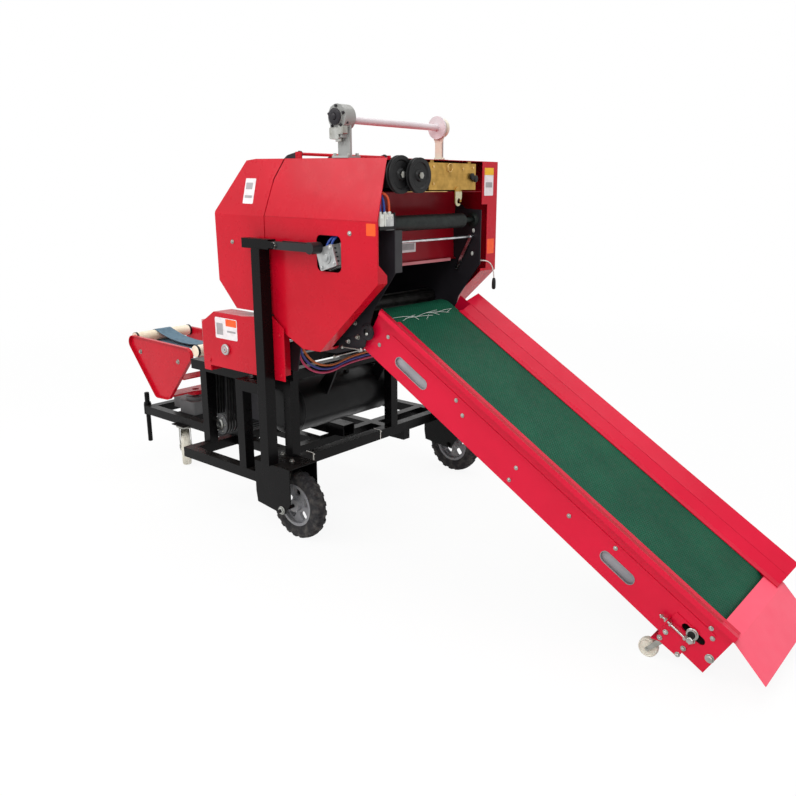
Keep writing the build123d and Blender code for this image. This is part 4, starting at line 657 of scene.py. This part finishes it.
for x in (35, 75):
    add_turned(form, frame_at((x, 30, 1564.6), UP), [(7, 0), (7, 5), (5, 7)], 6)
upright = [(-17, -123), (17, -123), (17, -60), (30, -30), (30, 0), (-30, 0), (-30, -30), (-17, -60)]
add_prism(form, frame_at((SHAFT_X, 27.9, SHAFT_Z), NEAR), upright, 0, 5)
finished_piece("far_pillow_block", form, cream_enamel)
form = bmesh.new()
for x, y in ((20, -535), (90, -535), (20, -492), (90, -492)):
    foot = frame_at((x, y, 1564.3), UP)
    add_turned(form, foot, [(8, 0), (8, 2), (6.5, 2), (6.5, 8), (4.5, 9)], 6)
finished_piece("stand_foot_bolts", form, zinc)

# Drive hood: an inspection plug in a bare cast rim, pressed into the sheet, and a blank label with
# an orange corner. Small bolts under the same red enamel hold the hood.
HOOD_FACE_Y = -606
form = bmesh.new()
plug = frame_at((-582, -618, 779), NEAR)
add_turned(form, plug,
           [(13, -8), (23.5, -8), (23.5, -2), (21, 1), (16, 1), (13, -1)], 36, closed=True)
add_turned(form, plug, [(12.8, -3), (12.8, 0.5), (11, 1.5), (6, 1), (5, 0)], 6)
finished_piece("hood_plug", form, cast_aluminium)
hood_face = frame_at((-579, HOOD_FACE_Y, 867), NEAR)
sheet_label("hood_label", hood_face, 146, 90, white_vinyl)
sheet_label("hood_label_corner", hood_face, 70, 30, orange_vinyl, (34, 27), 0.5)
sheet_label("hood_label_panel", hood_face, 42, 50, grey_vinyl, (-42, -4), 0.5)
sheet_label("hood_label_line", hood_face, 56, 8, grey_vinyl, (34, -10), 0.5)
hood_bolts = [(x, HOOD_FACE_Y, z) for x, z in ((-700, 716), (-330, 716), (-240, 716), (-240, 880))]
bolt_set("hood_bolts", hood_bolts, NEAR, 10, 5, 8, red_enamel)

# Drive: a finned motor in dark enamel, cast iron pulleys with bolted hubs that shine, and dull
# rubber V-belts. A ring grille guards the motor's fan.
motor_enamel = sprayed_enamel(
    "motor_enamel", "#17191b", "#202224", 0.45, 0.12, gloss=0.25, coat=0.05)
cast_iron = sprayed_enamel(
    "grey_cast_iron", "#68696a", "#4b4c4d", 0.5, 0.1, coat=0.05, peel_mm=0.12)
belt_rubber = moulded_plastic("v_belt_rubber", "#121212", "#232222", 0.65, gloss=0.2)
dress(motor_enamel, "motor")
dress(cast_iron, "belt_pulleys", "turntable_gear")
dress(belt_rubber, "drive_belts")
MOTOR_X, MOTOR_Z = -841, 367
PULLEY_FACE_Y = -474
form = bmesh.new()
for x, z in ((MOTOR_X, MOTOR_Z), (-825, 775)):
    hub = frame_at((x, PULLEY_FACE_Y, z), NEAR)
    add_turned(form, hub, [(16, -0.2), (27, -0.2), (27, 6), (24, 8), (16, 8)], 28, closed=True)
    for bolt_x, bolt_y, _ in circle(38, 6):
        bolt = hub @ Matrix.Translation((bolt_x, bolt_y, 0))
        add_turned(form, bolt, [(4, 0), (4, 3), (2.5, 4.5)], 10)
finished_piece("pulley_hubs", form, zinc)
form = bmesh.new()
fan = frame_at((MOTOR_X, -92, MOTOR_Z), FAR)
add_turned(form, fan, [(60, 0), (70, 0), (70, 8), (66, 14), (60, 14)], 40, closed=True)
for ring in (16, 30, 44):
    add_turned(form, fan, [(ring, 4), (ring + 5, 4), (ring + 5, 10), (ring, 10)], 36, closed=True)
for k in range(6):
    spoke = fan @ Matrix.Rotation(radians(60 * k), 4, "Z")
    add_prism(form, spoke, [(8, -2), (64, -2), (64, 2), (8, 2)], 5, 9)
add_turned(form, fan, [(11, 0), (11, 10), (8, 12)], 20)
finished_piece("motor_fan_grille", form, motor_enamel)

# Belt guard: a dark sheet behind the drive belts, bolted to the deck's rear cross member. A
# wing is folded round the belts at its rear edge, and a lip stiffens its front edge.
SHEET_REAR_X, SHEET_FRONT_X = -921.7, -562
SHEET_LOW_Z, SHEET_TOP_Z = 404, 668
SHEET_T = 2
form = bmesh.new()
guard_sheet = frame_at((0, -400, 0), NEAR)
for x0, x1, low, high in (
    # rear and front edge, then from where to where off the sheet's back
    (SHEET_REAR_X, SHEET_FRONT_X, 0, SHEET_T),
    (SHEET_REAR_X, SHEET_REAR_X + SHEET_T, SHEET_T, 74),
    (SHEET_FRONT_X - SHEET_T, SHEET_FRONT_X, -24, 0),
):
    outline = [(x0, SHEET_LOW_Z), (x0, SHEET_TOP_Z), (x1, SHEET_TOP_Z), (x1, SHEET_LOW_Z)]
    add_prism(form, guard_sheet, outline, low, high)
for x in (-905, -700, -600):
    add_turned(form, guard_sheet @ Matrix.Translation((x, 648, 2)), [(8, 0), (8, 2), (5, 5)], 6)
finished_piece("belt_guard_sheet", form, dark_enamel)

# Air tank: a pressed steel vessel in black enamel, with weld beads round its domed ends and a
# brass coloured safety valve screwed in at its top.
tank_enamel = sprayed_enamel(
    "tank_black_enamel", "#050506", "#08080a", 0.36, 0.015, gloss=0.14, coat=0.05)
dress(tank_enamel, "air_tank")
TANK_X, TANK_Z = -456, 502
form = bmesh.new()
for weld_y in (-392, 152):
    add_turned(form, frame_at((TANK_X, weld_y, TANK_Z), FAR),
               [(117, -4), (118.6, -3.4), (119.6, 0), (118.6, 3.4), (117, 4)], 72, closed=True)
finished_piece("tank_weld_beads", form, tank_enamel)
form = bmesh.new()
valve_seat = frame_at((-416, -60, 631), UP)
add_turned(form, valve_seat,
           [(9, 0), (9, 10), (6, 12), (6, 20), (4, 20), (4, 26), (6, 27), (6, 29)], 6)
finished_piece("tank_safety_valve", form, brass_edge)

# Turntable: red tapered cheeks with zinc bolts, two cream plastic rollers on black ends and
# woven blue-grey belting.
cream_tube = moulded_plastic("cream_plastic_tube", "#f6ead4", "#e2d3b6", 0.45, 70, 0.05)
woven_belting = moulded_plastic("blue_grey_belting", "#5c7686", "#486070", 0.7, 25, 0.3, 4)
dress(cream_tube, "table_rollers")
dress(woven_belting, "table_belt")
COLLAR_WIDTH = 11
collar_section = [(28.05, 0), (29.2, 0), (29.2, COLLAR_WIDTH), (28.05, COLLAR_WIDTH)]
form = bmesh.new()
for x in (-1617, -1097):
    for y in (-405, -86):
        add_turned(form, frame_at((x, y, 668), FAR), collar_section, 32, closed=True)
finished_piece("table_roller_collars", form, black_moulding, "turntable")
for place, face_y, way in (("near", -410, -1), ("far", -70, 1)):
    cheek_bolts = [(x, face_y, z) for x, z in ((-1566, 603), (-1239, 596))]
    bolt_set(f"cheek_bolts_{place}", cheek_bolts, (0, way, 0), 14, 9, 12, zinc, "turntable")

# Conveyor: folded sides in crimson enamel with their bolts, a green belt with a diamond face,
# grey backing sheet behind the oblong holes, and a sheet tray at the tail whose pale crimson is
# partly painted light.
SLOPE = radians(30.3)
CONVEYOR = Matrix.Translation((0.785, -0.240, 0.640)) @ Matrix.Rotation(SLOPE, 4, "Y") @ world_mm
crimson_enamel = sprayed_enamel(
    "crimson_enamel", "#d60c36", "#c90a30", 0.34, 0.015, gloss=0.14, coat=0.12, peel_mm=0.008)
# The tray's pale crimson is partly painted light: strong light on its red paint, painted into the
# colour.
tray_enamel_painted_light = sprayed_enamel("painted_light_crimson_enamel", "#ff5772", "#f7506a", 0.4, 0.02, gloss=0.25)
backing_sheet = sprayed_enamel("grey_backing_sheet", "#a9a7ab", "#737176", 0.45, 0.1)
dress(crimson_enamel, "conveyor_sides")
dress(tray_enamel_painted_light, "conveyor_tray")
green_belting, tree, shader = new_finish("green_diamond_belting", IOR=1.5, Specular_IOR_Level=0.12)
flat = add_node(tree, "ShaderNodeMapping", {
    "Vector": add_node(tree, "ShaderNodeTexCoord").outputs["Object"], "Rotation": (0, -SLOPE, 0)})
DIAMOND_MM = 10
DIAMOND_TURN = radians(52)
wave_scale = pi / 10 / (DIAMOND_MM / 1000)
ribs = []
for way in (1, -1):
    turned = add_node(tree, "ShaderNodeMapping", {
        "Vector": flat.outputs[0], "Rotation": (0, 0, way * DIAMOND_TURN)})
    wave = add_node(tree, "ShaderNodeTexWave", {
        "Vector": turned.outputs[0], "Scale": wave_scale, "Distortion": 0.0})
    ribs.append(spread(tree, wave.outputs["Fac"], 0.72, 0.95))
diamond = combine(tree, "MAXIMUM", *ribs)
wear = spread(tree, grain(tree, 160, 5), 0.35, 0.7)
ground = blend_colours(tree, wear, linear("#0a3f2d"), linear("#0e4833"))
crest = blend_colours(tree, wear, linear("#145640"), linear("#1e644b"))
finish_surface(tree, shader, blend_colours(tree, diamond, ground, crest),
               spread(tree, grain(tree, 20, 3), 0.3, 0.7, 0.42, 0.6), diamond, 0.8, 1.0)
dress(green_belting, "conveyor_belt")


def slope_frame(s, y, w, degrees=90, axis="X"):
    """A frame at s, y and w of the conveyor's own. As it stands its z points to the near side."""
    return CONVEYOR @ Matrix.Translation((s, y, w)) @ Matrix.Rotation(radians(degrees), 4, axis)


def conveyor_bolts(name, places, face, across, height, washer):
    """Zinc bolts on a face of the conveyor's side, at s and w in its own frame, on both sides."""
    form = bmesh.new()
    for side in (-1, 1):
        for s, w in places:
            add_bolt(form, slope_frame(s, side * face, w, -90 * side), across, height, washer)
    finished_piece(name, form, zinc, "conveyor", 25)


WEB_FACE = 246
BRACKET_FACE = 249
web_bolts = [(-620, -41), (-640, -94), (-248, -41), (-198, -70), (74, -76), (76, -133),
             (317, -71), (498, -39), (862, -15), (884, -39)]
conveyor_bolts("web_bolts", web_bolts, WEB_FACE, 9, 5, 8)
bracket_bolts = [(775, -139), (773, -170), (844, -138), (844, -170)]
conveyor_bolts("bracket_bolts", bracket_bolts, BRACKET_FACE, 11, 8, 9)
conveyor_bolts("tail_bolt", [(917, -100)], WEB_FACE, 20, 7, 15)
HOLES = ((-548, -378), (470, 609))
HOLE_W = -90
HOLE_HEIGHT = 42
RIM = 2
backing = bmesh.new()
rims = bmesh.new()
for side in (-1, 1):
    for s0, s1 in HOLES:
        middle, length = (s0 + s1) / 2, s1 - s0
        sheet = rounded_box(length + 40, 76, 8)
        add_prism(backing, slope_frame(middle, side * 236, HOLE_W), sheet, -1.5, 1.5)
        outer = rounded_box(length, HOLE_HEIGHT, HOLE_HEIGHT / 2 - 0.1, 8)
        inner = rounded_box(length - 2 * RIM, HOLE_HEIGHT - 2 * RIM, HOLE_HEIGHT / 2 - RIM - 0.1, 8)
        add_band(rims, slope_frame(middle, side * 244.6, HOLE_W), outer, inner, -2.4, 2.4)
finished_piece("hole_backing", backing, backing_sheet, "conveyor")
finished_piece("hole_rims", rims, backing_sheet, "conveyor")

# Crease: a shallow rib pressed along each web of the conveyor's sides to stiffen the sheet, in the
# same crimson enamel. It stands proud by 2 mm and shows as a thin bright line.
RIB_HEIGHT = 2
rib = [(-600, -22), (880, -22), (888, -25), (888, -27), (880, -30), (-600, -30), (-608, -27),
       (-608, -25)]
form = bmesh.new()
for side in (-1, 1):
    low, high = sorted((0, -side * RIB_HEIGHT))
    add_prism(form, slope_frame(0, side * WEB_FACE, 0), rib, low, high)
finished_piece("web_ribs", form, crimson_enamel, "conveyor", 20)

# Belt take-up: a threaded rod with nuts through a welded tab, which pulls the tail drum's
# shaft block along its slot.
BLOCK_FACE = BRACKET_FACE + 0.2
form = bmesh.new()
for side in (-1, 1):
    rod = slope_frame(729, side * 262, -96, axis="Y")
    add_turned(form, rod, [(3.8, 0), (3.8, 112)], 12)
    for along, corner, thick in ((4, 7.5, 7), (20, 7.5, 7), (38, 7.5, 7), (94, 8.5, 9)):
        nut = [(corner - 1.4, 0), (corner, 1.2), (corner, thick - 1.2), (corner - 1.4, thick)]
        add_turned(form, rod @ Matrix.Translation((0, 0, along)), nut, 6)
    shaft = slope_frame(835, side * BLOCK_FACE, -75, -90 * side)
    add_turned(form, shaft,
               [(12.4, 0), (20, 0), (20, 3), (17, 5), (17, 9), (12.4, 9)], 28, closed=True)
    block = slope_frame(842, side * BLOCK_FACE, -92, -90 * side)
    add_turned(form, block, [(16, 0), (16, 3), (12.5, 3), (12.5, 14), (10, 16)], 6)
finished_piece("belt_take_up", form, zinc, "conveyor", 25)
form = bmesh.new()
for side in (-1, 1):
    tab = slope_frame(757, side * WEB_FACE, -96, axis="Y")
    low, high = sorted((0, side * 26))
    add_prism(form, tab, [(-14, low), (14, low), (14, high), (-14, high)], -2, 2)
finished_piece("take_up_tabs", form, crimson_enamel, "conveyor")

# Net threads: loose white filaments of baling net that lie over the belt's head. The plastic is
# springy, so each one is a low arch, and it lies on those before it.
net_thread = moulded_plastic("net_thread", "#dfe4e0", "#c3c9c4", 0.5, 10, 0.01)
THREAD_R = 0.9
ARCH = 4
LOWEST, LAYER = 1.2, 0.3
thread_table = [
    # s and y of the middle in the conveyor's frame, turn in degrees, half length
    (-664, -140, 20, 60), (-656, -115, -35, 55), (-650, -60, 12, 80), (-662, 0, -20, 75),
    (-654, 60, 28, 70), (-658, 100, -14, 60), (-646, -90, 75, 40), (-650, 30, 60, 45),
    (-652, 130, -50, 40), (-640, -20, -65, 45),
]
form = bmesh.new()
for k, (s, y, turn, reach) in enumerate(thread_table):
    along_s = 0.3 * reach * sin(radians(turn))
    along_y = reach * cos(radians(turn))
    line = [(s + along_s * step, y + along_y * step,
             LOWEST + ARCH * (1 - step * step) + k * LAYER) for step in (-1, -0.4, 0.2, 1)]
    places = [(CONVEYOR @ Vector(point)) * 1000 for point in line]
    add_pipe(form, places, THREAD_R, 6)
finished_piece("net_threads", form, net_thread, "conveyor")

# Air hoses: three nylon tubes in different colours that hang from a gland inside the near
# plate to one on the front cross member, each on one smooth sagging line.
HOSE_R = 0.005
HOSE_X = -0.268
HOSE_STEP_Y, HOSE_STEP_Z = 0.012, 0.014
hose_route = [(-0.486, 0.822), (-0.486, 0.765), (-0.420, 0.698), (-0.322, 0.672),
              (-0.215, 0.695), (-0.110, 0.701), (0.005, 0.701)]


def smooth_tube(name, points, radius, material):
    """A round tube on one smooth line through a route's points."""
    line = smooth_line(name, points, 16)
    line.bevel_depth = radius
    line.bevel_resolution = 4
    line.use_fill_caps = True
    line.materials.append(material)
    tube = bpy.data.objects.new(name, line)
    scene.collection.objects.link(tube)
    return tube


for step, (level, colour, worn, length) in enumerate((
    ("low", "#c4365f", "#a92e50", 0.575),
    ("middle", "#3d3f8f", "#33357a", 0.550),
    ("top", "#c8642a", "#ad5523", 0.525),
)):
    points = [(HOSE_X, y + HOSE_STEP_Y * step, z + HOSE_STEP_Z * step) for y, z in hose_route]
    points[0] = (HOSE_X, points[0][1], hose_route[0][1])
    points[-1] = (HOSE_X, hose_route[-1][0], points[-1][2])
    nylon = moulded_plastic(f"nylon_hose_{level}", colour, worn, 0.35, 60, 0.01)
    hose = smooth_tube(f"hose_{level}", points, HOSE_R, nylon)
    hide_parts(f"air_hose_{level}")
    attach(hose, "chassis")

# Pull cord: a thin white braided cord from the far plate, with a black moulded grip on its
# hanging end.
cord_points = [(0.263, 0.023, 1.166), (0.271, 0.044, 1.168), (0.295, 0.068, 1.160),
               (0.303, 0.086, 1.128), (0.304, 0.088, 1.092)]
white_braid = moulded_plastic("white_braid", "#dcd6d2", "#bdb6b0", 0.8, 10, 0.1)
CORD_R = 0.0025
pull_cord = smooth_tube("braided_pull_cord", cord_points, CORD_R, white_braid)
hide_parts("pull_cord")
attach(pull_cord, "chassis")
form = bmesh.new()
add_turned(form, frame_at((304, 88, 1094), DOWN),
           [(3.5, 0), (6, 3), (8, 12), (8.5, 30), (8, 42), (5, 47)], 20)
pull_grip = finished_piece("pull_grip", form, black_moulding)

# Studio: a pale floor that keeps the machine's shadow, soft lamps, and the camera where the
# photograph was taken from.


def seen_as_backdrop(tree):
    """One for rays from the camera and for mirror and glass rays, and nought for the light."""
    path = add_node(tree, "ShaderNodeLightPath").outputs
    mirrored = combine(tree, "MAXIMUM", path["Is Glossy Ray"], path["Is Transmission Ray"])
    return combine(tree, "MAXIMUM", path["Is Camera Ray"], mirrored)


FLOOR_HALF = 16.0
SHADED_TO, WHITE_FROM = 2.4, 6.0
GLOW_NEAR_MACHINE = 0.92
floor_mesh = bpy.data.meshes.new("studio_floor")
floor_mesh.from_pydata(
    [(-FLOOR_HALF, -FLOOR_HALF, 0), (FLOOR_HALF, -FLOOR_HALF, 0),
     (FLOOR_HALF, FLOOR_HALF, 0), (-FLOOR_HALF, FLOOR_HALF, 0)], [], [(0, 1, 2, 3)])
studio_floor = bpy.data.objects.new("studio_floor", floor_mesh)
scene.collection.objects.link(studio_floor)
floor_paint, floor_tree, floor_shader = new_finish(
    "pale_floor_paint", Base_Color=linear("#fbfbfa"), Roughness=0.85, Specular_IOR_Level=0.1)
floor_glow = add_node(floor_tree, "ShaderNodeEmission", {"Color": (1, 1, 1, 1), "Strength": 1.0})
from_middle = add_node(floor_tree, "ShaderNodeVectorMath", {
    0: add_node(floor_tree, "ShaderNodeNewGeometry").outputs["Position"]}, operation="LENGTH")
brightness = spread(floor_tree, from_middle.outputs["Value"], SHADED_TO, WHITE_FROM,
                    GLOW_NEAR_MACHINE, 1.0)
glow_share = combine(floor_tree, "MULTIPLY", seen_as_backdrop(floor_tree), brightness)
floor_mix = add_node(floor_tree, "ShaderNodeMixShader", {
    0: glow_share, 1: floor_shader.outputs[0], 2: floor_glow.outputs[0]})
floor_tree.links.new(floor_mix.outputs[0], floor_tree.nodes["Material Output"].inputs["Surface"])
floor_mesh.materials.append(floor_paint)

ROOM_LIGHT = 0.5
world = bpy.data.worlds.new("soft_white_room")
scene.world = world
world.use_nodes = True
room_tree = world.node_tree
room_light = spread(room_tree, seen_as_backdrop(room_tree), 0.0, 1.0, ROOM_LIGHT, 1.0)
room_tree.links.new(room_light, room_tree.nodes["Background"].inputs["Strength"])
room_tree.nodes["Background"].inputs["Color"].default_value = (1, 1, 1, 1)

softbox_table = [
    # name, place, aim, width, height, power
    ("key_softbox", (2.6, -4.4, 4.6), (0.0, -0.2, 0.8), 3.0, 3.0, 130),
    ("sky_softbox", (-2.6, -4.2, 4.4), (-0.2, -0.5, 1.4), 3.4, 2.8, 120),
    ("top_softbox", (0.4, 0.6, 5.2), (0.0, 0.0, 0.5), 5.0, 4.0, 120),
]
for name, place, aim, width, height, power in softbox_table:
    lamp = bpy.data.lights.new(name, "AREA")
    lamp.shape = "RECTANGLE"
    lamp.size = width
    lamp.size_y = height
    lamp.energy = power
    holder = bpy.data.objects.new(name, lamp)
    holder.location = place
    holder.rotation_euler = (Vector(aim) - Vector(place)).to_track_quat("-Z", "Y").to_euler()
    scene.collection.objects.link(holder)

SENSOR_MM = 36
FRAME_PX = 796
FOCAL_PX = 811
CENTRE_PX = (440, 398)
CAMERA_PLACE = (2.21581, -2.70356, 1.485)
AZIMUTH = radians(38.10)
PITCH = radians(15.08)
ROLL = radians(0.62)
forward = Vector((-sin(AZIMUTH) * cos(PITCH), cos(AZIMUTH) * cos(PITCH), -sin(PITCH)))
level_right = Vector((cos(AZIMUTH), sin(AZIMUTH), 0))
level_up = level_right.cross(forward)
right = cos(ROLL) * level_right + sin(ROLL) * level_up
up = right.cross(forward)
camera_data = bpy.data.cameras.new("photo_camera")
camera_data.sensor_width = SENSOR_MM
camera_data.lens = FOCAL_PX / FRAME_PX * SENSOR_MM
camera_data.shift_x = (FRAME_PX / 2 - CENTRE_PX[0]) / FRAME_PX
camera_data.shift_y = (CENTRE_PX[1] - FRAME_PX / 2) / FRAME_PX
camera = bpy.data.objects.new("photo_camera", camera_data)
camera_turn = Matrix((right, up, -forward)).transposed().to_4x4()
camera.matrix_world = Matrix.Translation(CAMERA_PLACE) @ camera_turn
scene.collection.objects.link(camera)
scene.camera = camera
scene.view_settings.view_transform = "Standard"
